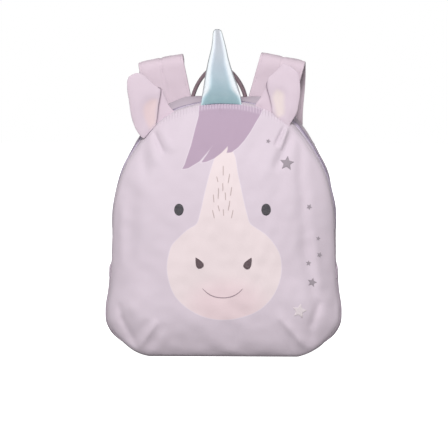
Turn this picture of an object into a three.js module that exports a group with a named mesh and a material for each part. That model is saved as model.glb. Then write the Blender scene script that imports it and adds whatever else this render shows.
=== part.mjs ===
// A toddler's zipped backpack with an animal's ears and horn, in millimetres.
// X runs to the right as seen from the front, the front faces -Y, and +Z is up.
// The origin is under the middle of the bag, on the surface that it stands on.
import * as THREE from 'three';

// The bag's body
const bodyHeight = 238;
const bodyHalfWidth = 109.5;
const seamDepthMiddle = 44; // the front seam lies this far in front of the origin
const bellyDepth = 60; // the front panel's furthest point
const backPlane = 42; // the back seam's plane
const backNarrow = 2.5; // the back panel is this much narrower on each side
const backRise = 1; // and this much taller
const clothWall = 2;
const backPadding = 8;
const seamGap = 0.3; // between two sewn pieces

// The zip
const stripWidth = 9; // cloth between the front seam and the zip
const zipWidth = 11;
const coilRise = 1.2;
const zipEndHeight = 118;
const sliderLength = 8;
const sliderWidth = 8;
const sliderRise = 2.6;
const sliderLift = 0.6; // over the coil, for the arch's bulge below the slider
const pullLength = 10;
const pullWidth = 4.5;

// The side pockets
const pocketBottom = 14;
const hemHeightFront = 82;
const hemHeightRear = 106;
const hemWidth = 9;
const pocketWall = 1.6;
const pocketClear = 0.8; // between the pocket and the side of the bag
const pocketSlack = 2;

// The horn
const hornBase = 40;
const hornThickness = 21;
const hornHeight = 70;
const hornLean = 3.6;
const hornOffset = 2.2; // the horn is sewn this far left of the middle

// The ears: each is sewn into the front seam about its middle
const earWidth = 30;
const earHeight = 50;
const earThickness = 9;
const earEdge = 2.4;
const earCup = 7; // the hollow in its front
const earTilt = 4; // its top lies this much further back than its foot
const earCrown = 6; // its top edge rises this much between its corners
const ears = {
  left: { side: -1, middle: 62.4 },
  right: { side: 1, middle: 45 },
};

// The carry handle
const handleSpan = 54.6;
const handleRise = 34;
const handleFlank = 1.3; // above 1 its flanks are straighter than an ellipse's
const handleWidth = 20;
const handleThickness = 3.6;
const handleOffset = 6.3; // left of the middle
const handleDepth = 26; // behind the origin

// The shoulder straps
const strapWidth = 42;
const strapThickness = 6;
const strapBase = 43; // from the middle to the strap's centre where it is sewn on
const strapCrest = 58.5;
const strapHang = 85; // and where the pad ends
const strapSwing = 0.3; // the pad hangs straight for this share of its fall, then swings out
const strapDraw = 6; // the pad's end lies this much nearer the bag than its crest
const strapLean = 4.7; // both straps hang this much to the left
const strapFootLean = 6.7; // and are sewn on this much to the left
const strapFoot = 202; // the height of the strap's sewn end
const strapCrestHeight = 279;
const strapFold = 12.5; // radius of the fold at the crest
const strapEnd = 108;
const strapEndWidth = 30;
const taperStops = 3; // the pad narrows to its end over the last of its path's steps

// The webbing below the straps, its adjusters and its sewn tabs
const webbingWidth = 25;
const webbingThickness = 1.8;
const webbingFoot = 36;
const anchorPlace = 94; // from between the straps to the webbing's lower end
const anchorBottom = 14;
const anchorThickness = 3;
const anchorSlant = 24; // the tab's foot lies this much nearer the middle than its top
const anchorTrim = 3; // and is this much narrower
const adjusterHeight = 25;
const adjusterWidth = 31;
const adjusterThickness = 4;
const adjusterBar = 4;
const adjusterSlot = 6.4;
const adjusterCorner = 3; // radius
const slotCorner = 0.8; // radius
const slotPlay = 1.6; // a slot is this much longer than the webbing is wide
const weaveClear = 0.4; // between the webbing and the adjuster's faces
const adjusterDrop = 50; // from the pad's end to the adjuster's middle, along the webbing

// The front seam's outline from the middle of the top to the middle of the bottom,
// as shares of the half width and of the height
const seamOutline = [
  { width: 0, height: 1 },
  { width: 0.226, height: 0.989 },
  { width: 0.429, height: 0.959 },
  { width: 0.573, height: 0.915 },
  { width: 0.651, height: 0.874 },
  { width: 0.755, height: 0.806 },
  { width: 0.84, height: 0.742 },
  { width: 0.904, height: 0.662 },
  { width: 0.941, height: 0.58 },
  { width: 0.954, height: 0.47 },
  { width: 0.963, height: 0.36 },
  { width: 0.977, height: 0.26 },
  { width: 1, height: 0.18 },
  { width: 0.991, height: 0.13 },
  { width: 0.922, height: 0.081 },
  { width: 0.849, height: 0.05 },
  { width: 0.758, height: 0.02 },
  { width: 0.639, height: 0 },
  { width: 0.329, height: 0 },
];

// By height: how far forward the front seam lies, as a share of seamDepthMiddle, and
// how far the sides swell beyond both seams, as a share of the half width. They are drawn
// in behind the pockets.
const sideForm = [
  { height: 0, seam: 0.97, swell: 0 },
  { height: 0.02, seam: 0.96, swell: 0.015 },
  { height: 0.055, seam: 0.9, swell: 0.02 },
  { height: 0.1, seam: 0.84, swell: -0.01 },
  { height: 0.165, seam: 0.78, swell: -0.025 },
  { height: 0.26, seam: 0.75, swell: -0.03 },
  { height: 0.36, seam: 0.75, swell: -0.025 },
  { height: 0.44, seam: 0.75, swell: -0.005 },
  { height: 0.5, seam: 0.75, swell: 0.01 },
  { height: 0.66, seam: 0.75, swell: 0.02 },
  { height: 0.75, seam: 0.74, swell: 0.035 },
  { height: 0.83, seam: 0.72, swell: 0.05 },
  { height: 0.9, seam: 0.68, swell: 0.06 },
  { height: 1, seam: 0.64, swell: 0.03 },
];

// The horn's width from its base to its tip, as a share of its base
const hornOutline = [
  { height: 0, width: 1 },
  { height: 0.11, width: 0.94 },
  { height: 0.25, width: 0.825 },
  { height: 0.41, width: 0.67 },
  { height: 0.58, width: 0.505 },
  { height: 0.745, width: 0.37 },
  { height: 0.88, width: 0.27 },
  { height: 0.96, width: 0.19 },
  { height: 1, width: 0.07 },
];

// The ear's outer and inner edges from the seam to the top, from its middle on the seam,
// as shares of its width and height
const earOutline = [
  { outerX: 0.49, outerZ: -0.22, innerX: -0.49, innerZ: 0.21 },
  { outerX: 0.82, outerZ: 0.1, innerX: -0.33, innerZ: 0.38 },
  { outerX: 0.93, outerZ: 0.4, innerX: -0.22, innerZ: 0.52 },
  { outerX: 0.96, outerZ: 0.67, innerX: -0.15, innerZ: 0.63 },
  { outerX: 0.88, outerZ: 0.9, innerX: -0.1, innerZ: 0.71 },
];

// The front panel's rings, as shares of the way from its middle to its seam
const panelRings = [0.3, 0.52, 0.69, 0.82, 0.91, 0.965, 1];
const panelMiddle = 0.44; // the rings' centre, as a share of the height
const panelSectors = 54;

// The belly falls away to the seam as 1 - (1 - r^power)^ease, r being the share of the way
// out. The power is flatter in the middle the higher it is.
const bellyPower = { side: 3.4, top: 2.3, bottom: 5 };
const bellyEase = 0.8;

const lilac = 0xded1db;
const greyLilac = 0xc0b4be;

const mix = (a, b, t) => a + (b - a) * t;
const clamp = (value, low, high) => Math.min(high, Math.max(low, value));

// A value of a table read between its rows, smoothly, by its height column.
function byHeight(table, name, height) {
  const last = table.length - 1;
  const place = clamp(height, table[0].height, table[last].height);
  let row = 0;
  while (row < last - 1 && place > table[row + 1].height) {
    row += 1;
  }
  const t = (place - table[row].height) / (table[row + 1].height - table[row].height);
  return mix(table[row][name], table[row + 1][name], t * t * (3 - 2 * t));
}

// The seam's outline as a closed curve in X and Z, from the middle of the top to the right.
function seamCurve() {
  const right = seamOutline.map(
    (row) => new THREE.Vector3(row.width * bodyHalfWidth, 0, row.height * bodyHeight),
  );
  const left = right
    .slice(1)
    .reverse()
    .map((point) => new THREE.Vector3(-point.x, 0, point.z));
  return new THREE.CatmullRomCurve3([...right, ...left], true, 'centripetal');
}

const outline = seamCurve();
outline.arcLengthDivisions = 1200;
const outlineLength = outline.getLength();

// The point of the outline at a share of the way round it.
function seamAt(share) {
  const point = outline.getPointAt(((share % 1) + 1) % 1);
  return new THREE.Vector2(point.x, Math.max(0, point.z));
}

// The share of the way round at which the right side of the outline passes a height.
function shareAtHeight(height) {
  let low = 0.02;
  let high = 0.42;
  for (let step = 0; step < 40; step += 1) {
    const middle = (low + high) / 2;
    if (seamAt(middle).y > height) {
      low = middle;
    } else {
      high = middle;
    }
  }
  return low;
}

// How far in front of the origin the front seam lies at a height.
function seamFront(height) {
  return seamDepthMiddle * byHeight(sideForm, 'seam', height / bodyHeight);
}

// A point of the band that runs round the bag: seam is a point of the front outline and
// back the distance behind the front seam. The band narrows to the back and swells between.
function bandPoint(seam, back) {
  const front = -seamFront(seam.y);
  const v = back / (backPlane - front);
  const side = clamp(seam.x / (0.4 * bodyHalfWidth), -1, 1);
  const swell = bodyHalfWidth * byHeight(sideForm, 'swell', seam.y / bodyHeight);
  const out = side * (swell * Math.sin(Math.PI * clamp(v, 0, 1)) - backNarrow * v);
  const up = backRise * v * (seam.y / bodyHeight);
  return new THREE.Vector3(seam.x + out, front + back, Math.max(0, seam.y + up));
}

// The distance from the front seam to the back panel at a point of the outline.
function bandDepth(seam) {
  return backPlane + seamFront(seam.y);
}

// Six times the volume that the triangles enclose, negative where they face inwards.
function signedVolume(points, faces) {
  return faces.reduce((sum, [a, b, c]) => {
    const normal = new THREE.Vector3().crossVectors(points[b], points[c]);
    return sum + points[a].dot(normal);
  }, 0);
}

// A closed geometry from points and the triangles that share them, turned to face out.
function solidOf(points, triangles) {
  const inwards = signedVolume(points, triangles) < 0;
  const faces = inwards ? triangles.map(([a, b, c]) => [a, c, b]) : triangles;
  const geometry = new THREE.BufferGeometry();
  const place = new Float32Array(points.length * 3);
  points.forEach((point, index) => point.toArray(place, index * 3));
  geometry.setAttribute('position', new THREE.BufferAttribute(place, 3));
  geometry.setIndex(faces.flat());
  geometry.computeVertexNormals();
  return geometry;
}

// The unit normal of a surface at each point of its grid, from the points beside it.
// The normal is the way from row to row crossed with the way along a row.
function gridNormals(grid) {
  const rows = grid.length;
  const columns = grid[0].length;
  return grid.map((line, i) =>
    line.map((_, j) => {
      const down = new THREE.Vector3().subVectors(
        grid[Math.min(rows - 1, i + 1)][j],
        grid[Math.max(0, i - 1)][j],
      );
      const along = new THREE.Vector3().subVectors(
        grid[i][Math.min(columns - 1, j + 1)],
        grid[i][Math.max(0, j - 1)],
      );
      return down.cross(along).normalize();
    }),
  );
}

// A closed wall between an outer grid of points and an inner one, joined round its rim.
// Outside, each row runs to the left of the way from row to row.
function wallBetween(outer, inner) {
  const rows = outer.length;
  const columns = outer[0].length;
  const at = (i, j, layer) => layer * rows * columns + i * columns + j;
  const faces = [];
  const quad = (a, b, c, d) => faces.push([a, b, c], [a, c, d]);
  for (let i = 0; i < rows - 1; i += 1) {
    for (let j = 0; j < columns - 1; j += 1) {
      quad(at(i, j, 0), at(i + 1, j, 0), at(i + 1, j + 1, 0), at(i, j + 1, 0));
      quad(at(i, j, 1), at(i, j + 1, 1), at(i + 1, j + 1, 1), at(i + 1, j, 1));
    }
  }
  for (let i = 0; i < rows - 1; i += 1) {
    const j = columns - 1;
    quad(at(i, 0, 0), at(i, 0, 1), at(i + 1, 0, 1), at(i + 1, 0, 0));
    quad(at(i, j, 0), at(i + 1, j, 0), at(i + 1, j, 1), at(i, j, 1));
  }
  for (let j = 0; j < columns - 1; j += 1) {
    const i = rows - 1;
    quad(at(0, j, 0), at(0, j + 1, 0), at(0, j + 1, 1), at(0, j, 1));
    quad(at(i, j, 0), at(i, j, 1), at(i, j + 1, 1), at(i, j + 1, 0));
  }
  return solidOf([...outer.flat(), ...inner.flat()], faces);
}

// Evenly spaced values from one to another.
function steps(from, to, count) {
  return Array.from({ length: count + 1 }, (_, index) => mix(from, to, index / count));
}

// A wall of cloth on a grid of points. Its outside stands off the grid by a lift and its
// inside lies a wall's thickness behind that. The points keep their distance from the front.
function clothOn(grid, thickness, lift = () => 0) {
  const normals = gridNormals(grid);
  const shifted = (inwards) =>
    grid.map((line, i) =>
      line.map((point, j) => {
        const moved = point.clone().addScaledVector(normals[i][j], lift(i, j) - inwards);
        return new THREE.Vector3(moved.x, point.y, Math.max(0, moved.z));
      }),
    );
  return wallBetween(shifted(0), shifted(thickness));
}

// The part of the band between two shares of the way round and two distances back.
function bandStrip(shares, backs, lift) {
  const grid = shares.map((share) => {
    const seam = seamAt(share);
    return backs(bandDepth(seam)).map((back) => bandPoint(seam, back));
  });
  return clothOn(grid, clothWall, lift);
}

const zipEnd = shareAtHeight(zipEndHeight);
const stripStart = clothWall + seamGap;
const zipStart = stripStart + stripWidth + seamGap;
const zipStop = zipStart + zipWidth;
const archShares = steps(-zipEnd, zipEnd, 34);

// The front panel: rings round its middle, with a belly that falls away to the seam.
function frontPanel() {
  const sectors = panelSectors;
  const middle = new THREE.Vector2(0, panelMiddle * bodyHeight);
  const falloff = (ring, seam) => {
    const upward = clamp((seam.y - middle.y) / (bodyHeight - middle.y), -1, 1);
    const { side, top, bottom } = bellyPower;
    const power = upward > 0 ? mix(side, top, upward) : mix(side, bottom, -upward);
    return 1 - (1 - ring ** power) ** bellyEase;
  };
  const point = (ring, share) => {
    const seam = seamAt(share);
    const front = seamFront(seam.y);
    return new THREE.Vector3(
      seam.x * ring,
      -mix(bellyDepth, front, falloff(ring, seam)),
      mix(middle.y, seam.y, ring),
    );
  };
  const centre = new THREE.Vector3(0, -bellyDepth, middle.y);
  const rings = panelRings.map((ring) =>
    Array.from({ length: sectors }, (_, index) => point(ring, index / sectors)),
  );
  const outward = (index, sector) => {
    const before = rings[Math.max(0, index - 1)][sector];
    const after = rings[index][sector];
    const beside = rings[index][(sector + 1) % sectors];
    const other = rings[index][(sector + sectors - 1) % sectors];
    const down = new THREE.Vector3().subVectors(after, index ? before : centre);
    return down.cross(new THREE.Vector3().subVectors(beside, other)).normalize();
  };
  const inside = rings.map((ring, index) =>
    ring.map((outer, sector) => {
      const rim = index === rings.length - 1;
      const away = rim ? new THREE.Vector3(0, -1, 0) : outward(index, sector);
      return outer.clone().addScaledVector(away, -clothWall * Math.sign(-away.y));
    }),
  );
  return discOf(centre, rings, centre.clone().setY(centre.y + clothWall), inside);
}

// A closed body between two discs of rings, the first one facing -Y.
function discOf(centre, rings, backCentre, backRings) {
  const sectors = rings[0].length;
  const points = [centre, ...rings.flat(), backCentre, ...backRings.flat()];
  const base = 1 + rings.length * sectors;
  const front = (ring, sector) => 1 + ring * sectors + (sector % sectors);
  const back = (ring, sector) => base + 1 + ring * sectors + (sector % sectors);
  const faces = [];
  for (let sector = 0; sector < sectors; sector += 1) {
    faces.push([0, front(0, sector + 1), front(0, sector)]);
    faces.push([base, back(0, sector), back(0, sector + 1)]);
    for (let ring = 0; ring < rings.length - 1; ring += 1) {
      const a = front(ring, sector);
      const b = front(ring, sector + 1);
      const c = front(ring + 1, sector + 1);
      const d = front(ring + 1, sector);
      faces.push([a, b, c], [a, c, d]);
    }
    for (let ring = 0; ring < backRings.length - 1; ring += 1) {
      const a = back(ring, sector);
      const b = back(ring, sector + 1);
      const c = back(ring + 1, sector + 1);
      const d = back(ring + 1, sector);
      faces.push([a, c, b], [a, d, c]);
    }
    const rim = front(rings.length - 1, sector);
    const rimNext = front(rings.length - 1, sector + 1);
    const far = back(backRings.length - 1, sector);
    const farNext = back(backRings.length - 1, sector + 1);
    faces.push([rim, rimNext, farNext], [rim, farNext, far]);
  }
  return solidOf(points, faces);
}

// The padded back: flat inside, crowned outside and rounded at its edge.
function backPanel() {
  const sectors = panelSectors;
  const middle = new THREE.Vector2(0, panelMiddle * bodyHeight);
  const rim = Array.from({ length: sectors }, (_, index) => {
    const seam = seamAt(index / sectors);
    return bandPoint(seam, bandDepth(seam));
  });
  const ringAt = (share, depth) =>
    rim.map((point) => new THREE.Vector3(
      point.x * share,
      backPlane + depth,
      mix(middle.y, point.z, share),
    ));
  const centre = new THREE.Vector3(0, backPlane, middle.y);
  const behind = new THREE.Vector3(0, backPlane + backPadding, middle.y);
  const crown = [
    ringAt(0.5, backPadding),
    ringAt(0.82, 0.93 * backPadding),
    ringAt(0.95, 0.75 * backPadding),
    ringAt(1, 0.4 * backPadding),
  ];
  return discOf(centre, [ringAt(1, 0)], behind, crown);
}

// The zip's tape with its coil standing proud along the middle.
function zipper() {
  const places = [0, 0.34, 0.5, 0.66, 1];
  const backs = () => places.map((place) => mix(zipStart, zipStop, place));
  return bandStrip(archShares, backs, (i, j) => (j === 2 ? coilRise : 0));
}

// The two strips of cloth beside the zip, and the band below its ends.
function gussetFront() {
  return bandStrip(archShares, () => [stripStart, stripStart + stripWidth]);
}

function gussetRear() {
  const backs = (depth) => steps(zipStop + seamGap, depth - seamGap, 4);
  return bandStrip(archShares, backs);
}

function gussetBase() {
  const endGap = seamGap / outlineLength;
  const shares = steps(zipEnd + endGap, 1 - zipEnd - endGap, 46);
  const backs = (depth) => steps(stripStart, depth - seamGap, 6);
  return bandStrip(shares, backs);
}

// The height of the pocket's edge at a share of the way back.
function hemHeight(v) {
  return mix(hemHeightFront, hemHeightRear, v);
}

// A wall on the outside of one side of the bag, between two heights that may slope. It is
// held off the side by a clearance and a slack, which is widest in the middle.
function sideWall(side, low, high, rows, slack) {
  const columns = 6;
  const grid = steps(0, 1, rows).map((t) =>
    steps(0, 1, columns).map((v) => {
      const seam = seamAt(shareAtHeight(mix(low(v), high(v), t)));
      const point = bandPoint(seam, mix(stripStart, bandDepth(seam) - seamGap, v));
      return point.setX(point.x * side);
    }),
  );
  const lift = (i, j) => {
    const up = Math.sin(Math.PI * Math.min(1, (side > 0 ? rows - i : i) / rows + 0.15));
    return pocketClear + pocketWall + slack * up * Math.sin((Math.PI * j) / columns);
  };
  return clothOn(side > 0 ? grid.reverse() : grid, pocketWall, lift);
}

function sidePocket(side) {
  const top = (v) => hemHeight(v) - hemWidth - seamGap;
  return sideWall(side, () => pocketBottom, top, 9, pocketSlack);
}

function pocketHem(side) {
  return sideWall(side, (v) => hemHeight(v) - hemWidth, hemHeight, 2, 0);
}

// The eight corners of a flat bar's section with its edges cut off.
function barSection(halfWide, halfThick) {
  const cut = 0.7 * halfThick;
  return [
    [halfWide, halfThick - cut],
    [halfWide - cut, halfThick],
    [cut - halfWide, halfThick],
    [-halfWide, halfThick - cut],
    [-halfWide, cut - halfThick],
    [cut - halfWide, -halfThick],
    [halfWide - cut, -halfThick],
    [halfWide, cut - halfThick],
  ];
}

// A flat bar along a path. Each stop has its centre, half its width and half its
// thickness; wide is the way that the bar's width runs. Bends keep the bar's thickness.
function barAlong(stops, wide) {
  const rings = stops.map((stop, index) => {
    const before = stops[Math.max(0, index - 1)].centre;
    const after = stops[Math.min(stops.length - 1, index + 1)].centre;
    const arriving = new THREE.Vector3().subVectors(stop.centre, before).normalize();
    const leaving = new THREE.Vector3().subVectors(after, stop.centre).normalize();
    const along = new THREE.Vector3().addVectors(arriving, leaving).normalize();
    const mitre = 1 / along.dot(index ? arriving : leaving);
    const across = wide.clone().addScaledVector(along, -wide.dot(along)).normalize();
    const thick = new THREE.Vector3().crossVectors(along, across).multiplyScalar(mitre);
    return barSection(stop.halfWidth, stop.halfThickness).map(([a, b]) =>
      stop.centre.clone().addScaledVector(across, a).addScaledVector(thick, b),
    );
  });
  return tubeOf(rings);
}

// A closed body through rings of points, capped at both ends.
function tubeOf(rings) {
  const sides = rings[0].length;
  const last = (rings.length - 1) * sides;
  const faces = [];
  for (let i = 0; i < last; i += sides) {
    for (let j = 0; j < sides; j += 1) {
      const a = i + j;
      const b = i + ((j + 1) % sides);
      faces.push([a, b, b + sides], [a, b + sides, a + sides]);
    }
  }
  for (let j = 1; j < sides - 1; j += 1) {
    faces.push([0, j + 1, j], [last, last + j, last + j + 1]);
  }
  return solidOf(rings.flat(), faces);
}

// The height of the front seam at a distance from the middle, on its upper stretch.
function seamHeightAt(x) {
  let low = 0;
  let high = 0.2;
  for (let step = 0; step < 40; step += 1) {
    const middle = (low + high) / 2;
    if (seamAt(middle).x < Math.abs(x)) {
      low = middle;
    } else {
      high = middle;
    }
  }
  return seamAt(low).y;
}

// The stuffed horn: oval rings up its length, leaning to the left, on a base that
// follows the seam.
function horn() {
  const sides = 14;
  const seat = seamGap + 0.2;
  const front = seamFront(bodyHeight);
  const ring = (share, height, follow) =>
    Array.from({ length: sides }, (_, index) => {
      const angle = (2 * Math.PI * index) / sides;
      const x = -hornOffset - hornLean * height ** 1.3 + 0.5 * hornBase * share * Math.cos(angle);
      const y = -front - 0.5 * hornThickness * share ** 0.8 * Math.sin(angle);
      const base = mix(bodyHeight, seamHeightAt(x), follow) + seat;
      return new THREE.Vector3(x, y, base + height * hornHeight);
    });
  const cone = hornOutline.map((row) => ring(row.width, row.height, 1 - row.height));
  return tubeOf([ring(0.2, 0, 1), ring(0.6, 0, 1), ...cone]);
}

// A stuffed ear on the front seam: a grid from its outer edge to its inner one and from
// the seam to its top, thick in the middle, thin at its edge and hollowed to the front.
function ear({ side, middle }) {
  const columns = 10;
  const rows = 9;
  const reach = (row, name) => new THREE.Vector2(
    middle + row[`${name}X`] * earWidth,
    seamHeightAt(middle) + row[`${name}Z`] * earHeight,
  );
  const edge = (v, name) => {
    const last = earOutline.length - 1;
    const index = Math.min(last - 1, Math.floor(v * last));
    return reach(earOutline[index], name).lerp(reach(earOutline[index + 1], name), v * last - index);
  };
  const outer = [];
  const inner = [];
  for (const v of steps(0, 1, rows)) {
    const front = [];
    const back = [];
    for (const u of steps(0, 1, columns)) {
      const place = edge(v, 'outer').lerp(edge(v, 'inner'), u);
      const arch = Math.sin(Math.PI * u);
      const seat = seamHeightAt(place.x) + seamGap;
      const height = mix(seat, place.y, Math.min(1, 3 * v)) + earCrown * arch * v * v;
      const plump = Math.sqrt(arch) * mix(0.5, 1, Math.min(1, 2 * v)) * (1 - v ** 4);
      const full = mix(earEdge, earThickness, plump);
      const foot = mix(earEdge, earThickness, 0.5 * Math.sqrt(arch));
      const depth = -seamFront(seat) - 0.5 * foot + earCup * arch * v + earTilt * v;
      front.push(new THREE.Vector3(side * place.x, depth - 0.5 * full, height));
      back.push(new THREE.Vector3(side * place.x, depth + 0.5 * full, height));
    }
    outer.push(front);
    inner.push(back);
  }
  return wallBetween(outer, inner);
}

// The carry handle: an arch of webbing that stands on the rear strip.
function carryHandle() {
  const reach = 0.5 * (handleSpan - handleThickness);
  const stops = steps(0, Math.PI, 16).map((angle) => {
    const across = Math.cos(angle);
    const x = -handleOffset - reach * Math.sign(across) * Math.abs(across) ** handleFlank;
    const foot = seamHeightAt(Math.abs(x) - handleThickness) + backRise;
    const height = mix(foot, bodyHeight + handleRise - 0.5 * handleThickness, Math.sin(angle) ** handleFlank);
    return {
      centre: new THREE.Vector3(x, handleDepth, height),
      halfWidth: 0.5 * handleWidth,
      halfThickness: 0.5 * handleThickness,
    };
  });
  return barAlong(stops, new THREE.Vector3(0, 1, 0));
}

const strapFront = backPlane + backPadding + seamGap + 0.5 * strapThickness;
const strapTurn = strapCrestHeight - 0.5 * strapThickness - strapFold;

// The centre of a strap's pad: up the back, over the fold and down behind it, swinging out.
function strapPath(side) {
  const points = [];
  for (const t of steps(0, 1, 6)) {
    const x = side * mix(strapBase, strapCrest, t) - mix(strapFootLean, strapLean, t);
    points.push(new THREE.Vector3(x, strapFront, mix(strapFoot, strapTurn, t)));
  }
  for (const angle of steps(0, Math.PI, 7).slice(1)) {
    const y = strapFront + strapFold * (1 - Math.cos(angle));
    const x = side * strapCrest - strapLean;
    points.push(new THREE.Vector3(x, y, strapTurn + strapFold * Math.sin(angle)));
  }
  for (const t of steps(0, 1, 12).slice(1)) {
    const far = Math.max(0, (t - strapSwing) / (1 - strapSwing));
    const x = side * mix(strapCrest, strapHang, far * far * (3 - 2 * far)) - strapLean;
    const y = strapFront + 2 * strapFold - strapDraw * t * t;
    points.push(new THREE.Vector3(x, y, mix(strapTurn, strapEnd, t)));
  }
  return points;
}

function strap(side) {
  const path = strapPath(side);
  const stops = path.map((centre, index) => {
    const taper = clamp(1 - (path.length - 1 - index) / taperStops, 0, 1);
    return {
      centre,
      halfWidth: 0.5 * mix(strapWidth, strapEndWidth, taper * taper),
      halfThickness: 0.5 * strapThickness,
    };
  });
  return barAlong(stops, new THREE.Vector3(1, 0, 0));
}

const anchorSeat = backPlane + 0.9 * backPadding + seamGap;
const weave = 0.5 * adjusterThickness + weaveClear + 0.5 * webbingThickness;
const slotPlace = 0.5 * (adjusterBar + adjusterSlot);

// The line from a strap's end to its sewn tab, with the ways across it and off the bag.
function webbingLine(side) {
  const start = strapPath(side).at(-1);
  const foot = side * anchorPlace - strapLean;
  const end = new THREE.Vector3(foot, anchorSeat + 0.5 * anchorThickness, webbingFoot);
  const down = new THREE.Vector3().subVectors(end, start).normalize();
  const across = new THREE.Vector3(1, 0, 0).addScaledVector(down, -down.x).normalize();
  const off = new THREE.Vector3().crossVectors(across, down).normalize();
  return { start, length: start.distanceTo(end), down, across, off };
}

// The webbing passes in through the adjuster's upper slot, over its bar and out below.
function strapWebbing(side) {
  const { start, length, down, across, off } = webbingLine(side);
  const slant = 0.3 * adjusterSlot;
  const tilt = 0.5 * webbingWidth * Math.abs(across.z) + 0.5 * webbingThickness * Math.abs(off.z);
  const headGap = seamGap + 0.5 * strapThickness * Math.abs(off.z);
  const route = [
    [headGap, 0],
    [0.5 * adjusterDrop, 0],
    [adjusterDrop - slotPlace - slant, 0],
    [adjusterDrop - slotPlace + slant, 2 * weave],
    [adjusterDrop + slotPlace - slant, 2 * weave],
    [adjusterDrop + slotPlace + slant, 0],
    [length - tilt - seamGap, 0],
  ];
  const stops = route.map(([along, lift]) => ({
    centre: start.clone().addScaledVector(down, along).addScaledVector(off, lift),
    halfWidth: 0.5 * webbingWidth,
    halfThickness: 0.5 * webbingThickness,
  }));
  return barAlong(stops, across);
}

// A rectangle with rounded corners, about a centre.
function roundedOutline(path, width, height, radius, y = 0) {
  const w = 0.5 * width - radius;
  const h = 0.5 * height - radius;
  path.absarc(w, y + h, radius, 0, 0.5 * Math.PI, false);
  path.absarc(-w, y + h, radius, 0.5 * Math.PI, Math.PI, false);
  path.absarc(-w, y - h, radius, Math.PI, 1.5 * Math.PI, false);
  path.absarc(w, y - h, radius, 1.5 * Math.PI, 2 * Math.PI, false);
  return path;
}

// The adjuster: a flat frame with two slots and a bar between them.
function adjuster() {
  const frame = roundedOutline(new THREE.Shape(), adjusterWidth, adjusterHeight, adjusterCorner);
  for (const y of [-slotPlace, slotPlace]) {
    const slot = roundedOutline(new THREE.Path(), webbingWidth + slotPlay, adjusterSlot, slotCorner, y);
    frame.holes.push(slot);
  }
  const geometry = new THREE.ExtrudeGeometry(frame, {
    depth: adjusterThickness,
    bevelEnabled: false,
    curveSegments: 3,
  });
  return geometry.translate(0, 0, -0.5 * adjusterThickness);
}

// Stands the adjuster on its webbing.
function seatAdjuster(mesh, side) {
  const { start, down, across, off } = webbingLine(side);
  mesh.position.copy(start).addScaledVector(down, adjusterDrop).addScaledVector(off, weave);
  const up = down.clone().negate();
  const out = new THREE.Vector3().crossVectors(across, up);
  mesh.quaternion.setFromRotationMatrix(new THREE.Matrix4().makeBasis(across, up, out));
  return mesh;
}

// The sewn tab at a lower corner: a slanting piece of folded cloth behind the back panel.
function webbingAnchor(side) {
  const half = 0.5 * webbingWidth;
  const foot = anchorPlace - anchorSlant;
  const corners = [
    [anchorPlace + half, webbingFoot],
    [anchorPlace - half, webbingFoot],
    [foot - half, anchorBottom],
    [foot + half - anchorTrim, anchorBottom],
  ];
  const shape = new THREE.Shape(corners.map(([x, z]) => new THREE.Vector2(side * x - strapLean, z)));
  const geometry = new THREE.ExtrudeGeometry(shape, { depth: anchorThickness, bevelEnabled: false });
  geometry.rotateX(0.5 * Math.PI);
  return geometry.translate(0, anchorSeat + anchorThickness, 0);
}

// A zip slider with its pull, one plain piece that lies on the coil beside the middle.
function zipperSlider(side) {
  const shape = new THREE.Shape();
  shape.moveTo(0, -0.5 * sliderWidth);
  shape.lineTo(sliderLength, -0.35 * sliderWidth);
  shape.lineTo(sliderLength, -0.5 * pullWidth);
  shape.lineTo(sliderLength + pullLength, -0.5 * pullWidth);
  shape.lineTo(sliderLength + pullLength, 0.5 * pullWidth);
  shape.lineTo(sliderLength, 0.5 * pullWidth);
  shape.lineTo(sliderLength, 0.35 * sliderWidth);
  shape.lineTo(0, 0.5 * sliderWidth);
  const geometry = new THREE.ExtrudeGeometry(shape, { depth: sliderRise, bevelEnabled: false });
  const near = side * (seamGap + 0.2) - hornOffset;
  const far = near + side * (sliderLength + pullLength);
  const tilt = Math.atan2(seamHeightAt(near) - seamHeightAt(far), Math.abs(far - near));
  if (side < 0) {
    geometry.rotateZ(Math.PI);
  }
  geometry.rotateY(side * tilt);
  const height = seamHeightAt(near) + backRise * 0.3 + coilRise + seamGap + sliderLift;
  return geometry.translate(near, zipStart + 0.5 * zipWidth - seamFront(bodyHeight), height);
}

const finishes = {
  fabric: { color: lilac, roughness: 0.86 },
  gusset: { color: greyLilac, roughness: 0.86 },
  zip: { color: 0xbbaec0, roughness: 0.7 },
  strap: { color: 0xdeced9, roughness: 0.86 },
  webbing: { color: 0x87787f, roughness: 0.9 },
  satin: { color: 0xc5d3e0, roughness: 0.35, metalness: 0.2 },
  plastic: { color: 0x4c464b, roughness: 0.5 },
  metal: { color: 0xb9b4bb, roughness: 0.35, metalness: 0.9 },
};

const bag = new THREE.Group();

// Adds a named mesh with its own material.
function add(name, geometry, finish) {
  const mesh = new THREE.Mesh(geometry, new THREE.MeshStandardMaterial(finishes[finish]));
  mesh.name = name;
  bag.add(mesh);
  return mesh;
}

add('front_panel', frontPanel(), 'fabric');
add('gusset_front', gussetFront(), 'gusset');
add('zipper', zipper(), 'zip');
add('gusset_rear', gussetRear(), 'gusset');
add('gusset_base', gussetBase(), 'gusset');
add('back_panel', backPanel(), 'fabric');
add('horn', horn(), 'satin');
add('carry_handle', carryHandle(), 'webbing');

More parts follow.
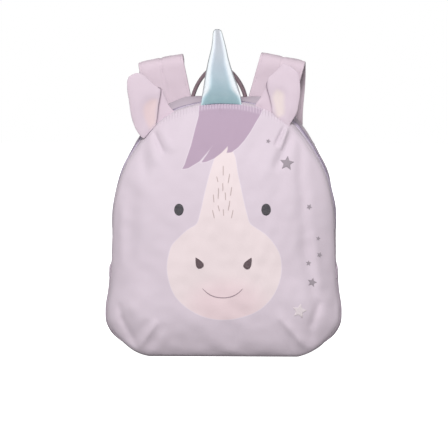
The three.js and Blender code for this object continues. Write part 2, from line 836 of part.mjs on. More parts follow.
for (const [name, place] of Object.entries(ears)) {
  add(`ear_${name}`, ear(place), 'fabric');
  add(`zipper_slider_${name}`, zipperSlider(place.side), 'metal');
  add(`strap_${name}`, strap(place.side), 'strap');
  add(`strap_webbing_${name}`, strapWebbing(place.side), 'webbing');
  add(`webbing_anchor_${name}`, webbingAnchor(place.side), 'webbing');
  add(`side_pocket_${name}`, sidePocket(place.side), 'gusset');
  add(`pocket_hem_${name}`, pocketHem(place.side), 'gusset');
  seatAdjuster(add(`adjuster_${name}`, adjuster(), 'plastic'), place.side);
}

export default bag;
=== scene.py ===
"""A toddler's zipped backpack with an animal's face, ears and a horn, dressed for the render.

Shapes are worked out in millimetres as whole numpy arrays and put into meshes in metres.
X runs to the right as seen from the front, the front faces -Y, and +Z is up.
"""

import math

import bpy
import numpy as np
from mathutils import Matrix, Vector


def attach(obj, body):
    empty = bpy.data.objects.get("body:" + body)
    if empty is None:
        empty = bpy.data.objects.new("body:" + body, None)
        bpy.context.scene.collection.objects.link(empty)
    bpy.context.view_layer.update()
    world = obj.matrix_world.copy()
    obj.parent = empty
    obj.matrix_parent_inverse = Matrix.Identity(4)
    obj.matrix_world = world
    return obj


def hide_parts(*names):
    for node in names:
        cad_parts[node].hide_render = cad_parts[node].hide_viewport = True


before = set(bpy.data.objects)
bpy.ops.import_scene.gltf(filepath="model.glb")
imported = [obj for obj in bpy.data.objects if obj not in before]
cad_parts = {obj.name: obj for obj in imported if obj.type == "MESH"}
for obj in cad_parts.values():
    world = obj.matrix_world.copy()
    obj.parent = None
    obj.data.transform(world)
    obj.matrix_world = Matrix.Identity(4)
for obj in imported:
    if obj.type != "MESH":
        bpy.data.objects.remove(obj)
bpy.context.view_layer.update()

MM = 0.001

# The photograph: the camera's angles, the size of a pixel and where the floor lies in it
AZIMUTH_DEG = 2.0
ELEVATION_DEG = 5.0
CAMERA_AWAY = 3500.0
PHOTO_SIDE = 448
MM_PER_PIXEL = 0.95
MIDDLE_COLUMN = 224.5
FLOOR_ROW = 355.0
FLOOR_FRONT = 3.7  # the front of the base shows this much below the origin
SENSOR_WIDTH = 36.0

# The bag's body, as in the solids
BODY_HEIGHT = 238.0
BODY_HALF_WIDTH = 109.5
SEAM_DEPTH = 44.0
BELLY_DEPTH = 60.0
BACK_PLANE = 42.0
BACK_NARROW = 2.5
BACK_RISE = 1.0
BACK_PADDING = 8.0
CLOTH = 1.0
SEAM_GAP = 0.3
PANEL_MIDDLE = 0.44
STRIP_WIDTH = 9.0
ZIP_WIDTH = 11.0
ZIP_END_HEIGHT = 118.0
SOLID_WALL = 2.0

# The front seam's outline: shares of the half width and of the height
SEAM_OUTLINE = np.array([
    (0, 1), (0.226, 0.989), (0.429, 0.959), (0.573, 0.915), (0.651, 0.874), (0.755, 0.806),
    (0.84, 0.742), (0.904, 0.662), (0.941, 0.58), (0.954, 0.47), (0.963, 0.36), (0.977, 0.26),
    (1, 0.18), (0.991, 0.13), (0.922, 0.081), (0.849, 0.05), (0.758, 0.02), (0.639, 0), (0.329, 0),
])

# By height: the front seam's share of SEAM_DEPTH and the sides' swell as a share of the half width
SIDE_FORM = np.array([
    (0, 0.97, 0), (0.02, 0.96, 0.015), (0.055, 0.9, 0.02), (0.1, 0.84, -0.01), (0.165, 0.78, -0.025),
    (0.26, 0.75, -0.03), (0.36, 0.75, -0.025), (0.44, 0.75, -0.005), (0.5, 0.75, 0.01),
    (0.66, 0.75, 0.02), (0.75, 0.74, 0.035), (0.83, 0.72, 0.05), (0.9, 0.68, 0.06), (1, 0.64, 0.03),
])


def smoothstep(low, high, value):
    """0 below low, 1 above high and an S-curve 3t^2 - 2t^3 between."""
    t = np.clip((value - low) / (high - low), 0, 1)
    return t * t * (3 - 2 * t)


def lerp(a, b, t):
    """a for t = 0, b for t = 1, and in proportion between."""
    return a + (b - a) * t


def hermite_through(knots, values, places):
    """A smooth curve through values at knots: cubic pieces whose slopes are the averages of
    the slopes of the straight lines on both sides, read at places."""
    knots = np.asarray(knots, float)
    values = np.asarray(values, float)
    slopes = np.gradient(values, knots, axis=0)
    index = np.clip(np.searchsorted(knots, places, side="right") - 1, 0, len(knots) - 2)
    span = knots[index + 1] - knots[index]
    t = (places - knots[index]) / span
    extra = (1,) * (values.ndim - 1)
    t = t.reshape(t.shape + extra)
    span = span.reshape(span.shape + extra)
    a = (2 * t**3 - 3 * t**2 + 1) * values[index] + (t**3 - 2 * t**2 + t) * span * slopes[index]
    b = (3 * t**2 - 2 * t**3) * values[index + 1] + (t**3 - t**2) * span * slopes[index + 1]
    return a + b


def lengths_along(points):
    """How far each point of a line lies from its first one, along the line."""
    return np.concatenate([[0], np.cumsum(np.linalg.norm(np.diff(points, axis=0), axis=-1))])


def read_along(places, lengths, points):
    """The points of a line at places, given as lengths along it."""
    return np.stack([np.interp(places, lengths, points[:, k]) for k in range(points.shape[1])], -1)


def curve_through(points, count, closed=False):
    """count points evenly spaced along a smooth curve through the given points. The curve's
    parameter is the distance from point to point."""
    points = np.asarray(points, float)
    if closed:
        points = np.vstack([points[-3:], points, points[:4]])
    knots = lengths_along(points)
    start, end = (knots[3], knots[-4]) if closed else (knots[0], knots[-1])
    fine = hermite_through(knots, points, np.linspace(start, end, 12 * count))
    along = lengths_along(fine)
    even = np.linspace(0, along[-1], count + 1 if closed else count)
    curve = read_along(even, along, fine)
    return curve[:-1] if closed else curve


def seam_loop():
    """The front seam as a closed loop of X and Z, from the middle of the top to the right."""
    right = SEAM_OUTLINE * (BODY_HALF_WIDTH, BODY_HEIGHT)
    left = right[:0:-1] * (-1, 1)
    loop = curve_through(np.vstack([right, left]), 2400, closed=True)
    loop[:, 1] = np.maximum(loop[:, 1], 0)
    return loop


SEAM = seam_loop()


def seam_at(share):
    """The points of the front seam at shares of the way round it."""
    share = np.mod(share, 1) * len(SEAM)
    index = np.floor(share).astype(int) % len(SEAM)
    part = (share - np.floor(share))[..., None]
    return lerp(SEAM[index], SEAM[(index + 1) % len(SEAM)], part)


def share_at_height(height):
    """The share of the way round at which the right side of the seam passes a height."""
    right = slice(int(0.02 * len(SEAM)), int(0.45 * len(SEAM)))
    shares = np.arange(len(SEAM))[right] / len(SEAM)
    return np.interp(-np.asarray(height, float), -SEAM[right][:, 1], shares)


def seam_height_at(x):
    """The height of the seam's upper stretch at a distance from the middle."""
    top = SEAM[: int(0.2 * len(SEAM))]
    return np.interp(np.abs(x), top[:, 0], top[:, 1])


def seam_front(height):
    """How far in front of the origin the front seam lies at a height."""
    height = np.clip(np.asarray(height, float) / BODY_HEIGHT, 0, 1)
    return SEAM_DEPTH * hermite_through(SIDE_FORM[:, 0], SIDE_FORM[:, 1], height)


def side_swell(height):
    """How far the sides swell beyond the seams at a height."""
    height = np.clip(np.asarray(height, float) / BODY_HEIGHT, 0, 1)
    return BODY_HALF_WIDTH * hermite_through(SIDE_FORM[:, 0], SIDE_FORM[:, 2], height)


def band_point(seam, back):
    """Points of the band round the bag: from a point of the front seam, back millimetres
    behind it. The band narrows in proportion to the back and swells as a sine between."""
    front = -seam_front(seam[..., 1])
    v = np.clip(back / (BACK_PLANE - front), 0, 1)
    side = np.clip(seam[..., 0] / (0.4 * BODY_HALF_WIDTH), -1, 1)
    out = side * (side_swell(seam[..., 1]) * np.sin(np.pi * v) - BACK_NARROW * v)
    up = BACK_RISE * v * seam[..., 1] / BODY_HEIGHT
    return np.stack([seam[..., 0] + out, front + back, np.maximum(0, seam[..., 1] + up)], -1)


def band_depth(seam):
    """The distance from the front seam to the back panel."""
    return BACK_PLANE + seam_front(seam[..., 1])


# Meshes


def grid_quads(rows, columns, wrap=False):
    """The quads of a grid of points in rows, whose last column meets the first if wrap."""
    across = columns if wrap else columns - 1
    i, j = np.meshgrid(np.arange(rows - 1), np.arange(across), indexing="ij")
    k = (j + 1) % columns
    quads = np.stack([i * columns + j, (i + 1) * columns + j, (i + 1) * columns + k, i * columns + k], -1)
    return quads.reshape(-1, 4)


def grid_normals(grid):
    """The unit normals of a grid: the way from row to row crossed with that along a row."""
    normal = np.cross(np.gradient(grid, axis=0), np.gradient(grid, axis=1))
    return normal / np.maximum(np.linalg.norm(normal, axis=-1, keepdims=True), 1e-9)


def enclosed(points, faces):
    """Six times the volume that the faces enclose, negative where they face inwards."""
    total = 0.0
    for ring in faces:
        ring = np.asarray(ring)
        for k in range(1, ring.shape[1] - 1):
            a, b, c = points[ring[:, 0]], points[ring[:, k]], points[ring[:, k + 1]]
            total += np.einsum("ij,ij->i", a, np.cross(b, c)).sum()
    return total


def put_mesh(name, points, faces, material, attributes=None):
    """A mesh object from points in millimetres and arrays of faces, turned to face out. An
    array of one number or three to a point becomes an attribute of that name."""
    points = np.asarray(points, float).reshape(-1, 3)
    faces = [face for ring in faced_out(points, faces) for face in np.asarray(ring).tolist()]
    mesh = bpy.data.meshes.new(name)
    mesh.from_pydata((points * MM).tolist(), [], faces)
    for label, values in (attributes or {}).items():
        values = np.asarray(values, np.float32)
        if values.ndim > 1 and values.shape[-1] == 3:
            mesh.attributes.new(label, "FLOAT_VECTOR", "POINT").data.foreach_set("vector", values.ravel())
        else:
            mesh.attributes.new(label, "FLOAT", "POINT").data.foreach_set("value", values.ravel())
    mesh.polygons.foreach_set("use_smooth", [True] * len(mesh.polygons))
    mesh.update()
    piece = bpy.data.objects.new(name, mesh)
    bpy.context.scene.collection.objects.link(piece)
    mesh.materials.append(material)
    return piece


def faced_out(points, faces):
    """The faces of a closed body, turned round if they face inwards."""
    if enclosed(points, faces) < 0:
        return [np.asarray(ring)[:, ::-1] for ring in faces]
    return faces


def merged(parts):
    """The points and faces of several (points, faces) as one."""
    points, faces, start = [], [], 0
    for part_points, part_faces in parts:
        points.append(part_points.reshape(-1, 3))
        faces += [np.asarray(ring) + start for ring in part_faces]
        start += len(points[-1])
    return np.vstack(points), faces


def on_cloth(grid):
    """Where each point of a grid lies on the flat cloth, in millimetres: how far along its
    row and how far down its column."""
    down = np.linalg.norm(np.diff(grid, axis=0, prepend=grid[:1]), axis=-1).cumsum(0)
    along = np.linalg.norm(np.diff(grid, axis=1, prepend=grid[:, :1]), axis=-1).cumsum(1)
    return np.stack([along, down, np.zeros_like(down)], -1)


BAG_MIDDLE = np.array([0.0, 0.0, 105.0])


def outward(grid):
    """The normals of a grid on the bag, turned away from the bag's middle."""
    normal = grid_normals(grid)
    away = np.sum(normal * (grid - BAG_MIDDLE))
    return normal if away > 0 else -normal


def wall_between(outer, inner):
    """The points and faces of a closed wall between two grids: both grids and a rim round
    their edges."""
    rows, columns = outer.shape[:2]
    count = rows * columns
    front = grid_quads(rows, columns)
    faces = [front, front[:, ::-1] + count]
    edge = np.arange(count).reshape(rows, columns)
    for line in (edge[0][::-1], edge[-1], edge[:, 0], edge[:, -1][::-1]):
        start, after = line[:-1], line[1:]
        faces.append(np.stack([start, start + count, after + count, after], -1))
    return np.vstack([outer.reshape(-1, 3), inner.reshape(-1, 3)]), faces


def cloth_piece(name, grid, thickness, material):
    """A sheet of cloth on the bag: its outside is the grid, its inside a thickness behind."""
    inner = grid - outward(grid) * thickness
    inner[..., 2] = np.maximum(inner[..., 2], 0)
    points, faces = wall_between(grid, inner)
    cloth = on_cloth(grid).reshape(-1, 3)
    return put_mesh(name, points, faces, material, {"cloth": np.concatenate([cloth, cloth])})


def closed_tube(rings):
    """The points and faces of a closed body through rings of points, each end closed by a
    fan to the middle of its ring."""
    count, sides = rings.shape[:2]
    points = np.vstack([rings.reshape(-1, 3), rings[0].mean(0), rings[-1].mean(0)])
    first = np.arange(sides)
    after = np.roll(first, -1)
    last = (count - 1) * sides
    ends = [
        np.stack([np.full(sides, count * sides), first, after], -1),
        np.stack([np.full(sides, count * sides + 1), last + after, last + first], -1),
    ]
    return points, [grid_quads(count, sides, True), *ends]


def disc_faces(rings, count):
    """The faces of a disc: rings of count points, the outermost first, and a middle point."""
    first = (rings - 1) * count + np.arange(count)
    fan = np.stack([first, np.full(count, rings * count), np.roll(first, -1)], -1)
    return [grid_quads(rings, count, True), fan]


def disc_body(front, behind, count):
    """The points and faces of a closed body between two discs with outermost rings of count
    points, and a rim from one to the other."""
    faces = disc_faces(len(front) // count, count)
    lining = [ring[:, ::-1] + len(front) for ring in disc_faces(len(behind) // count, count)]
    rim = np.arange(count)
    after = np.roll(rim, -1)
    edge = np.stack([rim, after, after + len(front), rim + len(front)], -1)
    points = np.vstack([front, behind])
    return points, faced_out(points, [*faces, *lining, edge])


def unit(vectors):
    """Vectors scaled to a length of one."""
    return vectors / np.maximum(np.linalg.norm(vectors, axis=-1, keepdims=True), 1e-9)


def ribbon_rings(path, wide, half_width, half_thickness, sides=48, corner=5.0, face=None):
    """Rings of a flat bar along a path: each section is a rounded rectangle, the curve
    |a|^corner + |b|^corner = 1, a along the width and b along the thickness. face gives
    what is added to the thickness by the place across the width and along the path."""
    along = unit(np.gradient(path, axis=0))
    across = unit(wide - along * np.sum(wide * along, -1, keepdims=True))
    thick = np.cross(along, across)
    angle = 2 * np.pi * (np.arange(sides) + 0.5) / sides
    size = (np.abs(np.cos(angle)) ** corner + np.abs(np.sin(angle)) ** corner) ** (-1 / corner)
    a = np.cos(angle) * size
    b = np.sin(angle) * size
    half_width = np.broadcast_to(half_width, len(path))[:, None, None]
    half_thickness = np.broadcast_to(half_thickness, len(path))[:, None]
    reach = b * half_thickness
    if face is not None:
        reach = reach + face(a[None, :], np.linspace(0, 1, len(path))[:, None]) * b
    return path[:, None] + across[:, None] * a[None, :, None] * half_width + thick[:, None] * reach[..., None]


# The camera's rays, and how a pixel of the photograph is placed on a surface

azimuth = math.radians(AZIMUTH_DEG)
elevation = math.radians(ELEVATION_DEG)
VIEW_RIGHT = np.array([math.cos(azimuth), math.sin(azimuth), 0])
VIEW_UP = np.array([
    -math.sin(azimuth) * math.sin(elevation),
    math.cos(azimuth) * math.sin(elevation),
    math.cos(elevation),
])
VIEW_INTO = np.cross(VIEW_UP, VIEW_RIGHT)
FRAME_CENTRE = (
    ((PHOTO_SIDE / 2 - MIDDLE_COLUMN) * MM_PER_PIXEL) * VIEW_RIGHT
    + ((FLOOR_ROW - PHOTO_SIDE / 2) * MM_PER_PIXEL - FLOOR_FRONT) * VIEW_UP
)
CAMERA_PLACE = FRAME_CENTRE - CAMERA_AWAY * VIEW_INTO


def at_pixels(pixels, depth):
    """The points seen at pixels of the photograph whose Y is depth, a number or one to a
    pixel: the camera's ray through the pixel is followed until its Y is the depth."""
    pixels = np.asarray(pixels, float)
    right = (pixels[..., 0] - PHOTO_SIDE / 2) * MM_PER_PIXEL / CAMERA_AWAY
    up = (PHOTO_SIDE / 2 - pixels[..., 1]) * MM_PER_PIXEL / CAMERA_AWAY
    ray = VIEW_INTO + right[..., None] * VIEW_RIGHT + up[..., None] * VIEW_UP
    reach = (depth - CAMERA_PLACE[1]) / ray[..., 1]
    return CAMERA_PLACE + ray * reach[..., None]


# Materials


def colour(code):
    """A linear colour from an sRGB hex code: (c + 0.055) / 1.055 to the power 2.4."""
    srgb = np.array([int(code[k : k + 2], 16) / 255 for k in (1, 3, 5)])
    linear = np.where(srgb <= 0.04045, srgb / 12.92, ((srgb + 0.055) / 1.055) ** 2.4)
    return (*linear.tolist(), 1.0)


def add_node(tree, kind, inputs=None, **settings):
    """Adds a node with its settings; an input is given a value or linked to a socket."""
    node = tree.nodes.new(kind)
    for name, value in settings.items():
        setattr(node, name, value)
    for name, value in (inputs or {}).items():
        if isinstance(value, bpy.types.NodeSocket):
            tree.links.new(value, node.inputs[name])
        else:
            node.inputs[name].default_value = value
    return node


def new_material(name, **shader_values):
    """A material with its tree and its Principled shader, whose sockets get the values."""
    material = bpy.data.materials.new(name)
    material.use_nodes = True
    tree = material.node_tree
    shader = tree.nodes["Principled BSDF"]
    for label, value in shader_values.items():
        shader.inputs[label.replace("_", " ")].default_value = value
    return material, tree, shader


def mixed(tree, share, first, second):
    """The colour socket of a mix of two colours by a share."""
    node = add_node(tree, "ShaderNodeMix", data_type="RGBA", clamp_factor=True)
    for socket, value in ((node.inputs[0], share), (node.inputs[6], first), (node.inputs[7], second)):
        if isinstance(value, bpy.types.NodeSocket):
            tree.links.new(value, socket)
        else:
            socket.default_value = value
    return node.outputs[2]


WAVE_PERIOD = math.tau / 20  # a wave texture's ridges lie this far apart at a scale of 1


def weave(tree, thread, along=1.0):
    """A woven height from 0 to 1 on the piece's cloth attribute, which holds places on the
    flat cloth in millimetres: the higher of two sets of ridges, a thread apart."""
    place = add_node(tree, "ShaderNodeAttribute", attribute_name="cloth").outputs["Vector"]
    ridges = []
    for direction, pitch in (("X", thread), ("Y", thread * along)):
        ridges.append(add_node(
            tree, "ShaderNodeTexWave",
            {"Vector": place, "Scale": WAVE_PERIOD / pitch, "Distortion": 0.6, "Detail": 0.0},
            wave_type="BANDS", bands_direction=direction, wave_profile="SIN",
        ).outputs["Fac"])
    return add_node(tree, "ShaderNodeMath", {0: ridges[0], 1: ridges[1]}, operation="MAXIMUM").outputs[0]


def blotches(tree, size, detail=3.0):
    """A soft noise from 0 to 1 whose patches are about size millimetres across."""
    place = add_node(tree, "ShaderNodeTexCoord").outputs["Object"]
    return add_node(
        tree, "ShaderNodeTexNoise", {"Vector": place, "Scale": 1 / (size * MM), "Detail": detail},
    ).outputs["Fac"]


def bumped(tree, shader, height, depth):
    """Sends a height of that many millimetres to the shader's normal."""
    bump = add_node(tree, "ShaderNodeBump", {"Height": height, "Distance": depth * MM, "Strength": 1.0})
    tree.links.new(bump.outputs[0], shader.inputs["Normal"])


def woven_cloth(name, light, dark, thread, depth, rough=0.72, sheen=0.08, along=1.0):
    """Woven polyester: a slightly uneven dye, threads that catch the light and a soft sheen."""
    material, tree, shader = new_material(
        name, Roughness=rough, Sheen_Weight=sheen, Sheen_Roughness=0.4, IOR=1.45, Specular_IOR_Level=0.35,
    )
    height = weave(tree, thread, along)
    uneven = add_node(
        tree, "ShaderNodeMath", {0: blotches(tree, 30), 1: 0.6}, operation="MULTIPLY",
    ).outputs[0]
    share = add_node(
        tree, "ShaderNodeMath", {0: height, 1: 0.25, 2: uneven}, operation="MULTIPLY_ADD",
    ).outputs[0]
    tree.links.new(mixed(tree, share, colour(dark), colour(light)), shader.inputs["Base Color"])
    bumped(tree, shader, height, depth)
    return material


# The front panel's face is printed: each field of colour has a signed distance to its edge,
# in millimetres, below zero inside, kept as an attribute of the panel's points.

LILAC = "#c6bac4"
LILAC_DARK = "#c0b3bd"
FORELOCK = "#a38fa1"
FORELOCK_BAND = "#a896a7"
# the lighter colour on the gathers' crests is a painted highlight
FORELOCK_GATHER_HIGHLIGHT = "#b8a6b6"
SEAM_PAINTED_HIGHLIGHT = "#d3c8d1"
BLAZE = "#d3c5c7"
MUZZLE_BLUSH = "#d2bec2"
PRINT_BASE = "#cfc4cd"
HALO = 0.5  # millimetres of the print's pale base show round a field
EDGE_SOFTNESS = 0.35
GATHER_PITCH = 2.7
GATHER_RELIEF = 7.0  # times the weave's depth


def inside_of(tree, attribute, offset=0.0):
    """1 where a signed distance is below the offset, 0 above, soft over its edge."""
    distance = add_node(tree, "ShaderNodeAttribute", attribute_name=attribute).outputs["Fac"]
    return add_node(tree, "ShaderNodeMapRange", {
        "Value": distance, "From Min": offset + EDGE_SOFTNESS, "From Max": offset - EDGE_SOFTNESS,
        "To Min": 0.0, "To Max": 1.0,
    }).outputs[0]


def printed_polyester():
    """Smooth polyester with a transfer print: one cloth, whose colour changes at sharp
    printed edges. Along the top seam it is drawn into small gathers, which show as a paler band
    with fine stripes of painted light and shade, and a painted highlight lies where it turns
    over the upper seam."""
    material, tree, shader = new_material(
        "printed polyester", Roughness=0.62, Sheen_Weight=0.06, Sheen_Roughness=0.4,
        IOR=1.45, Specular_IOR_Level=0.4,
    )
    height = weave(tree, 0.9)
    uneven = blotches(tree, 45)
    ground = mixed(tree, uneven, colour(LILAC_DARK), colour(LILAC))
    low = add_node(tree, "ShaderNodeAttribute", attribute_name="blush").outputs["Fac"]
    muzzle = mixed(tree, low, colour(BLAZE), colour(MUZZLE_BLUSH))
    halo = add_node(tree, "ShaderNodeMath", {
        0: inside_of(tree, "muzzle_edge", offset=HALO), 1: inside_of(tree, "forelock_edge", offset=HALO),
    }, operation="MAXIMUM").outputs[0]
    with_halo = mixed(tree, halo, ground, colour(PRINT_BASE))
    with_muzzle = mixed(tree, inside_of(tree, "muzzle_edge"), with_halo, muzzle)
    band = add_node(tree, "ShaderNodeAttribute", attribute_name="seam_band").outputs["Fac"]
    place = add_node(tree, "ShaderNodeAttribute", attribute_name="cloth").outputs["Vector"]
    gathers = add_node(
        tree, "ShaderNodeTexWave",
        {"Vector": place, "Scale": WAVE_PERIOD / GATHER_PITCH, "Distortion": 1.2, "Detail": 0.0},
        wave_type="BANDS", bands_direction="X", wave_profile="SIN",
    ).outputs["Fac"]
    gathered = add_node(tree, "ShaderNodeMath", {0: gathers, 1: band}, operation="MULTIPLY").outputs[0]
    # the gathers' stripes are painted light and shade, lighter on the crests
    drawn_in = mixed(tree, gathered, colour(FORELOCK_BAND), colour(FORELOCK_GATHER_HIGHLIGHT))
    lock = mixed(tree, band, colour(FORELOCK), drawn_in)
    both = mixed(tree, inside_of(tree, "forelock_edge"), with_muzzle, lock)
    # painted highlight: a pale line along the upper seam
    edge = add_node(tree, "ShaderNodeAttribute", attribute_name="seam_highlight").outputs["Fac"]
    tree.links.new(mixed(tree, edge, both, colour(SEAM_PAINTED_HIGHLIGHT)), shader.inputs["Base Color"])
    relief = add_node(tree, "ShaderNodeMath", {
        0: gathered, 1: GATHER_RELIEF, 2: height,
    }, operation="MULTIPLY_ADD").outputs[0]
    bumped(tree, shader, relief, 0.05)
    return material


def foil_print(name, code, rough, metallic):
    """Foil or ink printed on the cloth: a thin film whose colour wears unevenly."""
    material, tree, shader = new_material(name, Roughness=rough, Metallic=metallic)
    worn = add_node(tree, "ShaderNodeMapRange", {
        "Value": blotches(tree, 1.6), "From Min": 0.35, "From Max": 0.75,
    }).outputs[0]
    pale = tuple(0.9 * c + 0.04 for c in colour(code)[:3]) + (1.0,)
    tree.links.new(mixed(tree, worn, colour(code), pale), shader.inputs["Base Color"])
    return material


# the silver of a painted highlight on the horn's flanks
HORN_HIGHLIGHT_SILVER = "#c3c8cc"


def horn_satin():
    """Satin with a mirror-like coating: its base is teal at the foot, blue grey in the middle and
    silver at the tip, a little clouded, and on both flanks silver is mixed in as a painted
    highlight; its slack surface bends the light."""
    material, tree, shader = new_material("pearl coated satin", Roughness=0.3, Metallic=0.9)
    height = add_node(tree, "ShaderNodeAttribute", attribute_name="height").outputs["Fac"]
    ramp = add_node(tree, "ShaderNodeValToRGB", {"Fac": height})
    stops = ((0.0, "#80a3ac"), (0.16, "#98b4bf"), (0.4, "#b0c1ce"), (0.7, "#c2c7d2"), (1.0, "#c4c4cc"))
    while len(ramp.color_ramp.elements) < len(stops):
        ramp.color_ramp.elements.new(0.5)
    for element, (place, code) in zip(ramp.color_ramp.elements, stops):
        element.position = place
        element.color = colour(code)
    cloud = add_node(
        tree, "ShaderNodeMath", {0: blotches(tree, 11), 1: 0.35}, operation="MULTIPLY",
    ).outputs[0]
    clouded = mixed(tree, cloud, ramp.outputs["Color"], colour("#d8e2e6"))
    # painted highlight: silver mixed into the colour on both flanks
    painted_flank_highlight = add_node(tree, "ShaderNodeAttribute", attribute_name="painted_flank_highlight").outputs["Fac"]
    tree.links.new(mixed(tree, painted_flank_highlight, clouded, colour(HORN_HIGHLIGHT_SILVER)), shader.inputs["Base Color"])
    bumped(tree, shader, blotches(tree, 7), 0.2)
    return material


def moulded_plastic(name, code, rough):
    """Moulded plastic: one colour through and through, with a faint moulded grain."""
    material, tree, shader = new_material(name, Roughness=rough, IOR=1.48)
    grain = blotches(tree, 0.7)
    dark = tuple(0.8 * c for c in colour(code)[:3]) + (1.0,)
    tree.links.new(mixed(tree, grain, dark, colour(code)), shader.inputs["Base Color"])
    bumped(tree, shader, grain, 0.03)
    return material


print_cloth = printed_polyester()
gusset_cloth = woven_cloth("lilac polyester", LILAC, LILAC_DARK, 0.9, 0.06)
# a darker copy of the lilac polyester for the rear strip, base and pockets: the darkness is painted shade
shaded_band_cloth = woven_cloth("lilac polyester in painted shade", "#b8abb6", "#b0a2ae", 0.9, 0.06)
back_cloth = woven_cloth("padded air mesh", "#b7a9b5", "#a294a0", 2.4, 0.5, rough=0.85)
strap_cloth = woven_cloth("strap polyester", "#c9b9c3", "#c3b2bc", 1.0, 0.08)
tape_cloth = woven_cloth("zip tape", "#c6bacb", "#bbaec1", 0.8, 0.08)
elastic_cloth = woven_cloth("elastic binding", "#bdaebb", "#b0a1ae", 1.2, 0.2)
webbing_cloth = woven_cloth("mauve webbing", "#8a777d", "#6f5d64", 1.6, 0.35, rough=0.8, along=0.6)
pearl_satin = horn_satin()


# Small folds, the same for every run


def ripples(x, z, seed, longest=62.0, shortest=24.0, count=14):
    """A soft unevenness of about -1 to 1: the sum of sine waves over a plane, each with a
    length between the longest and the shortest and a random direction and start."""
    draw = np.random.default_rng(seed)
    total = np.zeros(np.broadcast(x, z).shape)
    for _ in range(count):
        length = draw.uniform(shortest, longest)
        way = draw.uniform(0, math.tau)
        start = draw.uniform(0, math.tau)
        total += np.sin(math.tau * (x * math.cos(way) + z * math.sin(way)) / length + start)
    return total / math.sqrt(count)


def from_segment(x, z, start, end):
    """The distance of points from a segment, and the share along it of the nearest place."""
    step = end - start
    share = ((x - start[0]) * step[0] + (z - start[1]) * step[1]) / (step @ step)
    held = np.clip(share, 0, 1)
    return np.hypot(x - start[0] - held * step[0], z - start[1] - held * step[1]), share


def signed_distance(x, z, loop):
    """The distance of points from a closed loop, below zero inside it."""
    nearest = np.full(x.shape, 1e9)
    crossings = np.zeros(x.shape, int)
    for start, end in zip(loop, np.roll(loop, -1, axis=0)):
        nearest = np.minimum(nearest, from_segment(x, z, start, end)[0])
        if start[1] != end[1]:
            spans = (start[1] > z) != (end[1] > z)
            meets = start[0] + (z - start[1]) / (end[1] - start[1]) * (end[0] - start[0])
            crossings += spans & (x < meets)
    return np.where(crossings % 2 == 1, -nearest, nearest)


# The front panel

PANEL_Z = PANEL_MIDDLE * BODY_HEIGHT
PANEL_ROLL = 4.0  # the cloth rolls over to the seam on this width
PANEL_TUCK = 1.2
SEAM_ANGLE = np.unwrap(np.arctan2(SEAM[:, 0], SEAM[:, 1] - PANEL_Z))
SEAM_REACH = np.hypot(SEAM[:, 0], SEAM[:, 1] - PANEL_Z)


def bare_panel_depth(x, z):
    """Y of the panel without folds: from the belly in the middle to the seam, along a
    falloff 1 - (1 - r^p)^0.8, r being the share of the way out. Also gives r's distance
    from the seam in millimetres."""
    angle = np.mod(np.arctan2(x, z - PANEL_Z) - SEAM_ANGLE[0], math.tau) + SEAM_ANGLE[0]
    reach = np.interp(angle, SEAM_ANGLE, SEAM_REACH)
    ring = np.clip(np.hypot(x, z - PANEL_Z) / reach, 0, 1)
    seam_z = PANEL_Z + reach * np.cos(angle)
    upward = (seam_z - PANEL_Z) / (BODY_HEIGHT - PANEL_Z)
    power = np.where(upward > 0, lerp(3.4, 2.3, upward), lerp(3.4, 5, -upward))
    falloff = 1 - (1 - ring**power) ** 0.8
    return -lerp(BELLY_DEPTH, seam_front(seam_z), falloff), reach * (1 - ring)


def panel_place(pixels):
    """X and Z of the places on the panel that the photograph shows at pixels."""
    depth = np.full(np.shape(pixels)[:-1], -BELLY_DEPTH)
    for _ in range(5):
        point = at_pixels(pixels, depth)
        depth = bare_panel_depth(point[..., 0], point[..., 2])[0]
    return point[..., [0, 2]]


